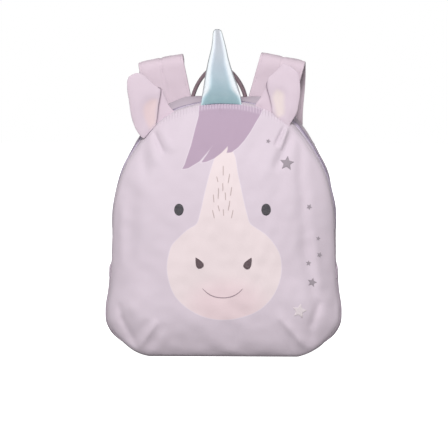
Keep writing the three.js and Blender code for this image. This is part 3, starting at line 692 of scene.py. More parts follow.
# Folds of the panel, from pixel to pixel of the photograph: half width and height in
# millimetres. A height below zero is a crease.
PANEL_FOLDS = (
    ((284.2, 128.0), (275.4, 145.0), 1.5, -2.8),
    ((288.0, 126.5), (281.0, 148.0), 1.8, 2.4),
    ((291.5, 134.0), (276.0, 168.0), 5.0, -3.0),
    ((281.0, 145.0), (262.0, 180.0), 8.0, 1.6),
    ((270.0, 122.0), (252.0, 152.0), 6.0, -0.9),
    ((300.5, 136.0), (300.0, 190.0), 4.5, -1.3),
    ((309.0, 160.0), (313.0, 235.0), 6.0, 0.6),
    ((293.0, 160.0), (292.0, 225.0), 8.0, 0.6),
    ((152.6, 130.0), (163.0, 152.0), 2.0, -2.0),
    ((148.6, 134.0), (156.0, 162.0), 4.5, 1.5),
    ((158.5, 126.0), (172.0, 150.0), 4.0, 1.4),
    ((142.0, 146.0), (146.0, 176.0), 5.0, -1.4),
    ((303.0, 184.0), (304.5, 255.0), 5.5, -1.4),
    ((304.5, 245.0), (317.0, 312.0), 5.5, -1.7),
    ((314.0, 235.0), (320.0, 285.0), 4.5, 1.2),
    ((133.0, 190.0), (131.0, 262.0), 7.0, -1.4),
    ((122.0, 205.0), (121.0, 262.0), 4.5, 1.0),
    ((118.5, 304.0), (122.5, 322.0), 3.6, -1.1),
    ((121.5, 319.0), (136.0, 345.0), 3.8, -1.4),
    ((130.0, 300.0), (140.0, 332.0), 6.0, 0.7),
    ((156.0, 323.0), (140.0, 346.0), 3.2, 1.5),
    ((163.0, 326.0), (152.0, 346.0), 5.0, -0.8),
    ((146.0, 322.0), (136.0, 338.0), 4.0, -0.8),
    ((319.0, 303.0), (311.5, 326.0), 3.6, -1.4),
    ((311.5, 324.0), (312.0, 344.0), 4.5, -0.9),
    ((308.0, 298.0), (298.0, 328.0), 6.0, 0.7),
    ((281.0, 319.0), (307.0, 348.0), 3.4, 1.3),
    ((276.0, 328.0), (292.0, 348.0), 6.0, -0.9),
    ((295.0, 322.0), (309.0, 338.0), 4.5, -0.7),
    ((236.0, 328.0), (233.0, 348.0), 9.0, -1.0),
    ((258.0, 331.0), (262.0, 348.0), 8.0, -0.8),
    ((200.0, 330.0), (202.0, 347.0), 10.0, -0.8),
    ((172.0, 336.0), (186.0, 348.0), 8.0, -0.7),
    ((222.0, 106.0), (222.3, 114.5), 1.2, -1.4),
)
fold_ends = panel_place(np.array([[start, end] for start, end, _, _ in PANEL_FOLDS]))


def panel_depth(x, z):
    """Y of the panel with its folds: each is a Gaussian across its line that fades towards
    both ends. The cloth rolls over to the seam, in a quarter of an ellipse."""
    depth, inside = bare_panel_depth(x, z)
    lift = 0.35 * ripples(x, z, 11) + 0.15 * ripples(x, z, 12, 26, 12)
    for ends, (_, _, half_width, height) in zip(fold_ends, PANEL_FOLDS):
        away, share = from_segment(x, z, *ends)
        fade = smoothstep(-0.35, 0.3, share) * (1 - smoothstep(0.7, 1.35, share))
        lift = lift + height * fade * np.exp(-((away / half_width) ** 2))
    near = np.clip(inside / PANEL_ROLL, 0, 1)
    roll = PANEL_TUCK * (1 - np.sqrt(np.clip(1 - (1 - near) ** 2, 0, 1)))
    return depth - lift * smoothstep(0, 7, inside) + roll


FORELOCK_OUTLINE = (
    (199.0, 100.0), (198.7, 116.0), (195.2, 128.7), (191.0, 145.5), (186.7, 158.1), (184.6, 164.6),
    (181.8, 169.4), (188.2, 168.3), (194.5, 164.5), (199.8, 161.2), (206.2, 153.7), (213.4, 144.1),
    (207.4, 153.8), (201.0, 162.8), (207.1, 161.6), (214.1, 158.5), (221.1, 153.2), (224.6, 149.7),
    (228.1, 145.5), (227.6, 149.6), (226.4, 153.2), (231.6, 152.2), (238.0, 147.6), (244.3, 140.6),
    (250.6, 131.5), (256.2, 121.7), (260.2, 115.0), (264.5, 106.0), (266.0, 100.0),
)
MUZZLE_OUTLINE = (
    (222.0, 140.0), (233.6, 153.4), (237.5, 172.2), (241.4, 190.9), (246.9, 214.4), (250.0, 223.8),
    (256.3, 228.4), (265.6, 234.7), (270.3, 239.4), (275.0, 245.6), (279.4, 254.0), (281.3, 269.0),
    (278.9, 283.1), (271.9, 297.2), (259.4, 309.7), (240.6, 317.5), (224.2, 319.8), (206.3, 317.5),
    (187.5, 308.1), (175.0, 295.6), (168.8, 280.0), (167.2, 266.7), (168.8, 255.0), (171.9, 245.6),
    (178.1, 238.6), (187.5, 230.0), (196.9, 223.8), (200.0, 214.4), (204.7, 194.0), (209.4, 175.3),
    (213.3, 162.8),
)
BLUSH_MIDDLE = (226.0, 306.0)
BLUSH_REACH = 34.0

PANEL_RINGS = 140
PANEL_SECTORS = 500
LINING_RINGS = 36


def panel_rings(rings):
    """Shares of the way out, seam points, X and Z of a disc of rings over the panel."""
    share = np.linspace(1, 1 / rings, rings)[:, None]
    seam = seam_at(np.arange(PANEL_SECTORS) / PANEL_SECTORS)
    return seam[None, :, 0] * share, lerp(PANEL_Z, seam[None, :, 1], share)


def front_panel():
    """The panel as a disc of rings round a middle point, its lining a cloth's thickness
    behind it, with the print's signed distances at every point."""
    sides = []
    for rings, behind in ((PANEL_RINGS, 0.0), (LINING_RINGS, CLOTH)):
        x, z = panel_rings(rings)
        x = np.append(x.ravel(), 0.0)
        z = np.append(z.ravel(), PANEL_Z)
        sides.append(np.stack([x, panel_depth(x, z) + behind, z], -1))
    points, faces = disc_body(*sides, PANEL_SECTORS)
    x, z = points[:, 0], points[:, 2]
    forelock = panel_place(np.array(FORELOCK_OUTLINE))
    muzzle = curve_through(panel_place(np.array(MUZZLE_OUTLINE)), 160, closed=True)
    blush = panel_place(np.array(BLUSH_MIDDLE))
    low = np.hypot((x - blush[0]) / 1.5, z - blush[1])
    inside = bare_panel_depth(x, z)[1]
    high = z / BODY_HEIGHT
    attributes = {
        "cloth": np.stack([x, z, np.zeros_like(x)], -1),
        "forelock_edge": signed_distance(x, z, forelock),
        "muzzle_edge": signed_distance(x, z, muzzle),
        "seam_band": (1 - smoothstep(4.8, 6.6, inside)) * smoothstep(0.9, 0.95, high),
        # painted highlight along the seam's upper stretch
        "seam_highlight": 0.5 * (1 - smoothstep(0.6, 1.6, inside)) * smoothstep(0.6, 0.75, high),
        "blush": 1 - smoothstep(0.35 * BLUSH_REACH, BLUSH_REACH, low),
    }
    return put_mesh("front_panel_cloth", points, faces, print_cloth, attributes)


def printed(name, outlines, material, proud=0.16, rows=5):
    """Printed shapes that lie on the panel: each outline, given as X and Z, is filled with
    rings towards its middle and follows the panel's folds, a little proud of the cloth."""
    parts = []
    for outline in outlines:
        middle = outline.mean(0)
        share = np.linspace(1, 1 / rows, rows)[:, None, None]
        place = np.vstack([lerp(middle, outline[None], share).reshape(-1, 2), middle])
        x, z = place[:, 0], place[:, 1]
        depth = panel_depth(x, z)
        layers = [np.stack([x, depth - lift, z], -1) for lift in (proud, -proud)]
        parts.append(disc_body(*layers, len(outline)))
    points, faces = merged(parts)
    return put_mesh(name, points, faces, material)


def oval(centre, half_width, half_height, count=48):
    """An ellipse on the panel, from pixels of the photograph."""
    angle = np.linspace(0, math.tau, count, endpoint=False)
    x, y = half_width * np.cos(angle), half_height * np.sin(angle)
    return panel_place(np.array(centre) + np.stack([x, y], -1))


def drop(tip, bottom, fullest, count=48):
    """A drop from its tip to its round bottom, in pixels: half its width is the fullest
    times the root of share^1.7 (1 - share^3.2), scaled to 1 at its widest."""
    tip, bottom = np.array(tip), np.array(bottom)
    step = bottom - tip
    side = np.array([-step[1], step[0]]) / np.linalg.norm(step)
    share = 0.5 - 0.5 * np.cos(np.linspace(0, math.pi, count // 2))
    half = np.sqrt(share**1.7 * (1 - share**3.2))
    half *= fullest / half.max()
    right = tip + step * share[:, None] + side * half[:, None]
    left = tip + step * share[:, None] - side * half[:, None]
    return panel_place(np.vstack([right, left[-2:0:-1]]))


def drawn(name, lines, half_width, material, proud=0.14, count=30):
    """Drawn lines through pixels of the photograph, as thin strips that follow the panel
    and close to rounded ends."""
    parts = []
    for pixels in lines:
        line = curve_through(pixels, count)
        side = unit(np.gradient(line, axis=0))[:, ::-1] * (-1, 1)
        share = np.linspace(-1, 1, count)
        half = half_width * np.sqrt(np.clip(1 - np.abs(share) ** 8, 0.02, 1))
        across = np.linspace(-1, 1, 5)
        place = panel_place(line[:, None] + side[:, None] * across[None, :, None] * half[:, None, None])
        depth = panel_depth(place[..., 0], place[..., 1])
        layers = [np.stack([place[..., 0], depth - lift, place[..., 1]], -1) for lift in (proud, -proud)]
        points, faces = wall_between(*layers)
        parts.append((points, faced_out(points, faces)))
    points, faces = merged(parts)
    return put_mesh(name, points, faces, material)


def star(centre, reach, turn, hollow=0.46):
    """A five-pointed star with slightly rounded points, in pixels."""
    corners = []
    for k in range(10):
        angle = turn + math.pi * k / 5 - 0.5 * math.pi
        size = reach if k % 2 == 0 else reach * hollow
        corners.append((centre[0] + size * math.cos(angle), centre[1] + size * math.sin(angle)))
    corners = np.array(corners)
    after = np.roll(corners, -1, axis=0)
    steps = np.linspace(0.08, 0.92, 6)[None, :, None]
    return panel_place(lerp(corners[:, None], after[:, None], steps).reshape(-1, 2))


def dress(piece, slot, *nodes):
    """Puts a finished piece on the bag, in the place of solids of the frame."""
    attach(piece, "root")
    if nodes:
        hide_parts(*nodes)
    return piece


front = dress(front_panel(), "printed_fabric", "front_panel")

EYES = ((178.9, 209.7), (266.1, 209.7))
EYE_HALF_WIDTH = 4.75
EYE_HALF_HEIGHT = 6.0
eyes = printed(
    "printed_eyes", [oval(eye, EYE_HALF_WIDTH, EYE_HALF_HEIGHT) for eye in EYES],
    foil_print("eye ink", "#302d33", 0.45, 0.0),
)
# Nostrils: tip, round bottom and half the fullest width
NOSTRILS = (((195.6, 257.4), (201.7, 268.2), 3.8), ((251.6, 257.8), (245.3, 268.8), 3.8))
nostrils = printed(
    "printed_nostrils", [drop(*one) for one in NOSTRILS],
    foil_print("nostril ink", "#4a3a3f", 0.55, 0.0), rows=4,
)
LINE_HALF = 0.42
SMILE = (
    (202.3, 288.3), (206.0, 292.0), (213.0, 296.2), (222.8, 297.9), (232.5, 296.2), (239.5, 292.0),
    (243.0, 288.3),
)
smile = drawn("printed_smile", [SMILE], LINE_HALF, foil_print("smile ink", "#84727a", 0.6, 0.0), count=60)
HAIR_TICKS = (
    ((223.2, 165.5), (223.2, 175.8)), ((229.7, 173.5), (228.1, 183.3)), ((216.7, 176.4), (218.0, 182.1)),
    ((222.8, 182.7), (222.8, 191.3)), ((218.5, 187.6), (218.2, 199.4)), ((231.7, 186.7), (230.5, 195.9)),
    ((225.2, 192.2), (225.6, 200.2)), ((213.3, 194.2), (214.0, 202.8)), ((229.9, 200.5), (228.2, 210.8)),
    ((217.9, 205.1), (219.6, 211.4)), ((223.3, 209.1), (223.7, 216.0)), ((212.4, 209.7), (214.4, 218.3)),
    ((233.1, 209.7), (231.4, 218.3)),
)
ticks = drawn("printed_hair", HAIR_TICKS, LINE_HALF, foil_print("hair ink", "#a99897", 0.6, 0.0), count=12)
# Stars: centre and reach in pixels, and the turn
STARS = (
    ((287.0, 163.2), 7.6, 0.12), ((268.3, 141.2), 2.6, 0.3), ((309.2, 207.0), 3.2, 0.5),
    ((318.2, 238.5), 2.5, 0.2), ((319.5, 254.8), 3.0, 0.4), ((308.5, 263.4), 3.0, 0.1),
    ((312.1, 282.5), 5.0, 0.25),
)
PALE_STAR = ((299.4, 311.0), 7.9, 0.2)
stars = printed(
    "printed_stars", [star(*one) for one in STARS], foil_print("silver foil", "#8d838b", 0.5, 0.15), rows=4,
)
pale_star = printed(
    "printed_pale_star", [star(*PALE_STAR)], foil_print("pale foil", "#cfc4c8", 0.6, 0.1), rows=4,
)
for piece in (eyes, nostrils, smile, ticks, stars, pale_star):
    dress(piece, "printed_fabric")


# The band round the bag

ZIP_END = float(share_at_height(ZIP_END_HEIGHT))
STRIP_START = SOLID_WALL + SEAM_GAP
ZIP_START = STRIP_START + STRIP_WIDTH + SEAM_GAP
ZIP_STOP = ZIP_START + ZIP_WIDTH
BAND_START = 0.25
BAND_RIPPLE = 0.35
REAR_PUFF = 5.8
PUFF_HEIGHT = (0.895, 0.96)  # shares of the body's height between which the slack cloth begins
PUFF_ASIDE = (10, 38)  # it is slack from the first to the second distance from the middle
PUFF_MIDDLE = 0.35  # and this share of it is left in the middle


def band_grid(shares, first, last, rows, swell=0.6, tuck=0.6, tuck_width=2.2, seed=1, puff=0.0):
    """A strip of the band between two distances behind the front seam: it swells between its
    seams and is drawn in over a narrow width at both, and small ripples run over it. It can
    puff up further on both sides of the bag's top, where the cloth is slack."""
    seam = np.broadcast_to(seam_at(shares), (rows, len(shares), 2))
    depth = band_depth(seam)
    first, last = (
        edge(depth) if callable(edge) else np.full(depth.shape, edge) for edge in (first, last)
    )
    v = np.linspace(0, 1, rows)[:, None]
    back = lerp(first, last, v)
    grid = band_point(seam, back)
    from_edge = np.minimum(back - first, last - back)
    around = lengths_along(grid[0])
    aside = smoothstep(*PUFF_ASIDE, np.abs(seam[..., 0]))
    slack = smoothstep(*PUFF_HEIGHT, seam[..., 1] / BODY_HEIGHT) * lerp(PUFF_MIDDLE, 1, aside)
    drawn_in = tuck * (1 - smoothstep(0, tuck_width, from_edge)) ** 2
    lift = (swell + puff * slack) * np.sin(np.pi * v) - drawn_in
    lift = lift + BAND_RIPPLE * ripples(around[None, :], back, seed, 48, 16) * smoothstep(0, 5, from_edge)
    grid = grid + outward(grid) * lift[..., None]
    grid[..., 2] = np.maximum(grid[..., 2], 0)
    return grid


arch_shares = np.linspace(-ZIP_END, ZIP_END, 700)
gusset_front = cloth_piece(
    "gusset_front_cloth", band_grid(arch_shares, BAND_START, ZIP_START, 22, seed=21), CLOTH, gusset_cloth,
)


def to_back(depth):
    """Where the band ends: a seam's gap before the back panel."""
    return depth - SEAM_GAP


gusset_rear = cloth_piece(
    "gusset_rear_cloth", band_grid(arch_shares, ZIP_STOP, to_back, 60, 1.2, seed=22, puff=REAR_PUFF),
    CLOTH, shaded_band_cloth,
)
base_shares = np.linspace(ZIP_END, 1 - ZIP_END, 560)
gusset_base = cloth_piece(
    "gusset_base_cloth", band_grid(base_shares, BAND_START, to_back, 84, 1.5, seed=23), CLOTH, shaded_band_cloth,
)
for piece, slot, flat in (
    (gusset_front, "gusset_fabric", (0.012, 0.42)),
    (gusset_rear, "gusset_fabric", (0.051, 0.41)),
    (gusset_base, "gusset_fabric", (0.081, 0.42)),
):
    dress(piece, slot, piece.name.removesuffix("_cloth"))


# The zip

TOOTH_PITCH = 1.7
TOOTH_LENGTH = 2.7
TOOTH_THICKNESS = 1.1
TOOTH_HEIGHT = 1.3
TOOTH_LEAN = 0.28
TOOTH_ASIDE = 1.45
TOOTH_PROUD = 0.75


def beads(places, along, across, out, length, width, height, sides=8, rings=(-1, -0.72, 0, 0.72, 1)):
    """Small rounded bars at places: length runs along, width across, height out."""
    angle = np.linspace(0, math.tau, sides, endpoint=False)
    share = np.array(rings)
    fat = np.sqrt(np.clip(1 - 0.94 * share**6, 0, 1)) * np.where(np.abs(share) == 1, 0.45, 1)
    ring = (
        share[None, :, None, None] * 0.5 * length * along[:, None, None, :]
        + (fat[:, None] * np.cos(angle))[None, :, :, None] * 0.5 * width * across[:, None, None, :]
        + (fat[:, None] * np.sin(angle))[None, :, :, None] * 0.5 * height * out[:, None, None, :]
    )
    return merged([closed_tube(one) for one in ring + places[:, None, None, :]])


def zip_fastener():
    """The tape as a strip of the band, lower than the strips beside it, and its coil: two
    rows of teeth that lean against each other along its middle."""
    grid = band_grid(np.linspace(-ZIP_END, ZIP_END, 700), ZIP_START, ZIP_STOP, 16, 0.9, 0.2, 1.0, seed=24)
    tape = cloth_piece("zip_tape", grid, CLOTH, tape_cloth)
    shares = np.linspace(-ZIP_END, ZIP_END, 6000)
    middle = band_point(seam_at(shares), np.full(shares.shape, 0.5 * (ZIP_START + ZIP_STOP)))
    length = lengths_along(middle)
    count = int(length[-1] / TOOTH_PITCH)
    place = read_along(np.linspace(2, length[-1] - 2, count), length, middle)
    along = unit(np.gradient(place, axis=0))
    back = np.broadcast_to([0.0, 1.0, 0.0], along.shape)
    back = unit(back - along * np.sum(back * along, -1, keepdims=True))
    out = np.cross(along, back)
    out *= np.sign(np.sum(out * (place - BAG_MIDDLE), -1, keepdims=True))
    rows = []
    for way in (-1, 1):
        lean = unit(back + way * TOOTH_LEAN * along)
        offset = 0.5 * TOOTH_PITCH if way > 0 else 0
        centre = place + way * back * TOOTH_ASIDE + out * TOOTH_PROUD + along * offset
        rows.append(beads(centre, lean, along, out, TOOTH_LENGTH, TOOTH_THICKNESS, TOOTH_HEIGHT))
    points, faces = merged(rows)
    coil = put_mesh("zip_coil", points, faces, zip_nylon)
    return tape, coil


zip_nylon = moulded_plastic("zip nylon", "#998ca1", 0.42)
zip_tape, zip_coil = zip_fastener()
dress(zip_tape, "zip", "zipper")
dress(zip_coil, "zip", "zipper")


# The back panel

CHANNEL_PLACE = 36
CHANNEL_HALF = 2.2
CHANNEL_DEPTH = 2.6


def back_panel():
    """The padded back: a disc whose back is full in the middle and thin at its seam, with
    two sewn channels down it, and whose front is flat."""
    rings, sectors = 70, 420
    share = np.linspace(1, 1 / rings, rings)[:, None]
    seam = seam_at(np.arange(sectors) / sectors)
    edge = band_point(seam, band_depth(seam))
    x = np.append((edge[None, :, 0] * share).ravel(), 0.0)
    z = np.append(lerp(PANEL_Z, edge[None, :, 2], share).ravel(), PANEL_Z)
    ring = np.append(np.broadcast_to(share, (rings, sectors)).ravel(), 0.0)
    full = np.interp(ring, (0, 0.5, 0.82, 0.95, 1), (8.0, 8.0, 7.5, 6.2, 3.4))
    ways = (-CHANNEL_PLACE, CHANNEL_PLACE)
    channel = sum(np.exp(-(((x - place) / CHANNEL_HALF) ** 2)) for place in ways)
    crown = full - CHANNEL_DEPTH * channel * smoothstep(1, 0.86, ring) + 0.3 * ripples(x, z, 31)
    back = np.stack([x, BACK_PLANE + crown, z], -1)
    front_side = np.stack([x, np.full(x.shape, BACK_PLANE), z], -1)
    points, faces = disc_body(back, front_side, sectors)
    cloth = np.stack([points[:, 0], points[:, 2], np.zeros(len(points))], -1)
    return put_mesh("back_panel_padding", points, faces, back_cloth, {"cloth": cloth})


back = dress(back_panel(), "back_fabric", "back_panel")


# The side pockets

POCKET_BOTTOM = 14.0
HEM_FRONT = 82.0
HEM_REAR = 106.0
HEM_WIDTH = 9.0
POCKET_CLEAR = 0.8
POCKET_WALL = 1.6
POCKET_SLACK = 2.0
GATHERS = 11


def pocket_grid(side, low, high, rows, slack, gather, foot=1.0):
    """A wall on one side of the bag between two heights, held off it by a clearance and by
    a slack in the middle; gathers run down from its upper edge as a sine that fades. Its
    lower edge is sewn down to a share of the clearance."""
    columns = 150
    v = np.linspace(0, 1, columns)[None, :]
    t = np.linspace(0, 1, rows)[:, None]
    height = lerp(low(v), high(v), t)
    seam = seam_at(share_at_height(height))
    depth = band_depth(seam)
    grid = band_point(seam, lerp(0.6, depth - SEAM_GAP, v))
    up = np.sin(np.pi * np.minimum(1, (1 - t) + 0.15)) * slack
    held = np.sin(np.pi * v) ** 0.6
    wave = np.sin(math.tau * GATHERS * v + 0.8 * np.sin(5 * v)) * gather(t) * held
    proud = (POCKET_CLEAR + POCKET_WALL) * smoothstep(0, 0.06, np.minimum(v, 1 - v))
    lift = (proud + up * np.sin(np.pi * v) + wave) * lerp(foot, 1, smoothstep(0, 0.14, t))
    grid = grid + outward(grid) * np.maximum(lift, 0.3)[..., None]
    grid[..., 0] *= side
    return grid


def hem_height(v):
    """The height of the pocket's edge at a share of the way back."""
    return lerp(HEM_FRONT, HEM_REAR, v)


for side, label in ((-1, "left"), (1, "right")):
    pocket = cloth_piece(
        f"side_pocket_{label}_cloth",
        pocket_grid(
            side, lambda v: np.full(v.shape, POCKET_BOTTOM), lambda v: hem_height(v) - HEM_WIDTH + 1,
            120, POCKET_SLACK, lambda t: 0.15 + 0.75 * t**3, foot=0.35,
        ),
        CLOTH, shaded_band_cloth,
    )
    dress(pocket, "gusset_fabric", f"side_pocket_{label}")
    hem = cloth_piece(
        f"pocket_hem_{label}_cloth",
        pocket_grid(side, lambda v: hem_height(v) - HEM_WIDTH, hem_height, 26, 0.0,
                    lambda t: 0.7 * (1 - 0.5 * t)) + np.array([side * 0.5, 0, 0]),
        2.2, elastic_cloth,
    )
    dress(hem, "elastic", f"pocket_hem_{label}")


# The ears: each is a front lobe and a wing behind it, from pixels of the photograph

EAR_LOBES = {
    "left": (
        (143.6, 138.5), (142.8, 138.1), (138.3, 133.2), (132.1, 119.5), (128.7, 100.3), (126.9, 87.3),
        (127.3, 79.9), (127.8, 78.5), (129.3, 76.2), (130.4, 75.6), (135.2, 73.4), (136.6, 73.2),
        (141.3, 74.3), (149.0, 80.4), (155.9, 86.6), (159.7, 89.3), (160.3, 89.8), (160.3, 90.8),
        (158.0, 106.0), (155.7, 124.6), (155.4, 126.0), (154.4, 127.1), (149.4, 132.2), (144.5, 137.9),
    ),
    "right": (
        (268.2, 78.4), (268.9, 77.4), (272.5, 74.2), (277.5, 69.6), (282.9, 64.3), (283.8, 63.8),
        (284.9, 64.0), (290.5, 67.0), (295.6, 70.6), (297.7, 73.2), (299.6, 80.5), (300.3, 90.7),
        (299.0, 102.5), (296.6, 113.0), (292.9, 119.9), (290.4, 123.6), (288.4, 128.6), (287.2, 127.8),
        (281.5, 121.5), (274.0, 115.0), (273.1, 114.0), (271.6, 106.0), (269.6, 97.0), (267.0, 86.0),
        (267.3, 81.5),
    ),
}
EAR_WINGS = {
    "left": (
        (160.8, 88.4), (164.6, 97.0), (168.9, 106.5), (174.4, 114.3), (169.6, 118.4), (162.0, 122.6),
        (154.5, 128.0), (147.0, 131.0), (147.0, 112.0), (150.0, 92.0), (156.0, 87.8),
    ),
    "right": (
        (267.4, 81.5), (264.6, 88.9), (260.9, 96.9), (255.6, 106.3), (260.0, 108.6), (267.5, 112.4),
        (275.5, 116.6), (282.0, 121.0), (285.0, 108.0), (281.0, 88.0), (274.0, 79.5),
    ),
}
EAR_PATCHES = {
    "left": (
        (144.6, 104.0), (150.0, 99.5), (156.5, 99.0), (156.5, 112.0), (154.8, 125.5), (150.0, 129.0),
        (145.6, 122.0),
    ),
    "right": (
        (272.6, 95.0), (276.6, 89.5), (283.2, 92.5), (284.6, 104.0), (283.8, 115.0), (277.8, 117.4),
        (274.0, 107.0),
    ),
}
EAR_DEPTH = -33.0
EAR_TILT = 4.0
EAR_BEFORE_SEAM = 1.3
EAR_RINGS = 56
LOBE_POINTS = 200
LOBE_HALF = 3.0
LOBE_CUP = 1.7
WING_HALF = 2.6
WING_BEHIND = 3.2
WING_CLEAR = 0.4
# the width of the painted shade on the wing beside the lobe's edge
FOLD_SHADE_WIDTH = 1.1


def stuffed(outline, depth, half, rows=EAR_RINGS, edge=0.7, hollow=None):
    """A stuffed flat shape: rings from its outline to its middle on both sides of a depth.
    Its half thickness grows from the seam as (1 - r^2.6)^0.7; hollow moves its front back."""
    middle = 0.5 * (outline.min(0) + outline.max(0))
    share = np.linspace(1, 1 / rows, rows)[:, None, None]
    place = np.vstack([lerp(middle, outline[None], share).reshape(-1, 2), middle])
    ring = np.append(np.broadcast_to(share[..., 0], (rows, len(outline))).ravel(), 0.0)
    x, z = place[:, 0], place[:, 1]
    full = edge + (half - edge) * (1 - ring**2.6) ** 0.7
    puckers = 0.14 * ripples(x, z, 41, 26, 11) * (1 - ring**4)
    base = depth(x, z)
    pit = hollow(x, z) * (1 - ring**3) if hollow else 0
    sides = [np.stack([x, base - full + pit - puckers, z], -1), np.stack([x, base + full, z], -1)]
    return disc_body(*sides, len(outline))


def ear(label):
    """One ear: the lobe is cupped along its inner lining, and its wing folds behind it."""
    def ear_place(pixels):
        return at_pixels(np.array(pixels), np.full(len(pixels), EAR_DEPTH))[:, [0, 2]]

    lobe = curve_through(ear_place(EAR_LOBES[label]), LOBE_POINTS, closed=True)
    wing = curve_through(ear_place(EAR_WINGS[label]), 150, closed=True)
    patch = curve_through(ear_place(EAR_PATCHES[label]), 80, closed=True)
    seat = seam_height_at(lobe[:, 0].mean())

    def front_depth(x, z):
        on_seam = -seam_front(seam_height_at(x)) - EAR_BEFORE_SEAM
        return on_seam + EAR_TILT * np.clip((z - seat) / 50, 0, 1.2)

    def wing_depth(x, z):
        return front_depth(x, z) + WING_BEHIND * smoothstep(-8, 14, z - seat) + WING_CLEAR

    def cup(x, z):
        return LOBE_CUP * (1 - smoothstep(-7, 6, signed_distance(x, z, patch)))

    points, faces = merged([
        stuffed(lobe, front_depth, LOBE_HALF, hollow=cup),
        stuffed(wing, wing_depth, WING_HALF, rows=36),
    ])
    x, z = points[:, 0], points[:, 2]
    on_lobe = np.arange(len(points)) < 2 * (EAR_RINGS * LOBE_POINTS + 1)
    fade = 1 - smoothstep(-3.4, 2.2, signed_distance(x, z, patch))
    front_side = points[:, 1] < front_depth(x, z)
    beside = np.clip(signed_distance(x, z, lobe), 0, None)
    # painted shade: the wing darkens in a narrow line beside the lobe's edge
    fold = np.exp(-((beside / FOLD_SHADE_WIDTH) ** 2)) * lerp(0.35, 1, smoothstep(4, 30, z - seat))
    attributes = {
        "cloth": np.stack([x, z, np.zeros_like(x)], -1),
        "lining": fade * on_lobe * front_side,
        "wing": 1.0 * ~on_lobe,
        "fold": fold * ~on_lobe,
    }
    return put_mesh(f"ear_{label}_stuffed", points, faces, ear_material(label), attributes)


def ear_material(label):
    """The ear's polyester, with the lighter lining printed in its hollow, and a dark line of
    painted shade on the wing beside the lobe's edge, where the wing is folded in behind the lobe."""
    material, tree, shader = new_material(
        f"ear polyester {label}", Roughness=0.68, Sheen_Weight=0.06, Sheen_Roughness=0.4, IOR=1.45,
        Specular_IOR_Level=0.35,
    )
    ground = mixed(tree, blotches(tree, 14), colour("#c0b0bb"), colour("#c8b9c3"))
    wing = add_node(tree, "ShaderNodeAttribute", attribute_name="wing").outputs["Fac"]
    fold = add_node(tree, "ShaderNodeAttribute", attribute_name="fold").outputs["Fac"]
    # the fold line's dark colour is painted shade
    both = mixed(tree, fold, mixed(tree, wing, ground, colour("#c3b2bd")), colour("#7f707b"))
    lining = add_node(tree, "ShaderNodeAttribute", attribute_name="lining").outputs["Fac"]
    tint = colour("#cbb6b9" if label == "left" else "#d0c2c1")
    tree.links.new(mixed(tree, lining, both, tint), shader.inputs["Base Color"])
    bumped(tree, shader, weave(tree, 0.9), 0.05)
    return material


for label in ("left", "right"):
    dress(ear(label), "ear_fabric", f"ear_{label}")


# The horn: row, left edge and right edge in pixels of the photograph

HORN_ROWS = np.array([
    (104.5, 200.4, 242.0), (95.0, 202.0, 240.5), (85.0, 203.7, 237.5), (73.0, 205.6, 233.0),
    (60.0, 208.3, 229.0), (48.0, 211.2, 226.3), (38.0, 212.5, 223.7), (33.0, 212.9, 222.3),
    (30.4, 213.9, 221.0), (29.2, 215.6, 218.9),
])
HORN_THICKNESS = 21.0
HORN_SEWN_IN = 0.9
HORN_GIRTH = 72.0
HORN_LENGTH = 74.0
HORN_TINTED = 70.0  # the foil's colours change over this height
FOOT_SHARE = 0.12  # below this share of its height the horn bends down to the seam
# Long soft dents: height as a share, angle round the horn from its right side to its
# front, size up and round, and depth in millimetres
HORN_DENTS = (
    (0.16, 1.57, 0.16, 0.55, 0.6), (0.42, 1.70, 0.14, 0.40, 0.5), (0.66, 1.45, 0.12, 0.40, 0.35),
    (0.05, 1.20, 0.05, 0.40, 0.4), (0.30, 2.40, 0.10, 0.30, 0.3), (0.22, 0.75, 0.10, 0.30, 0.35),
    (0.30, 4.60, 0.20, 0.60, 0.8),
)


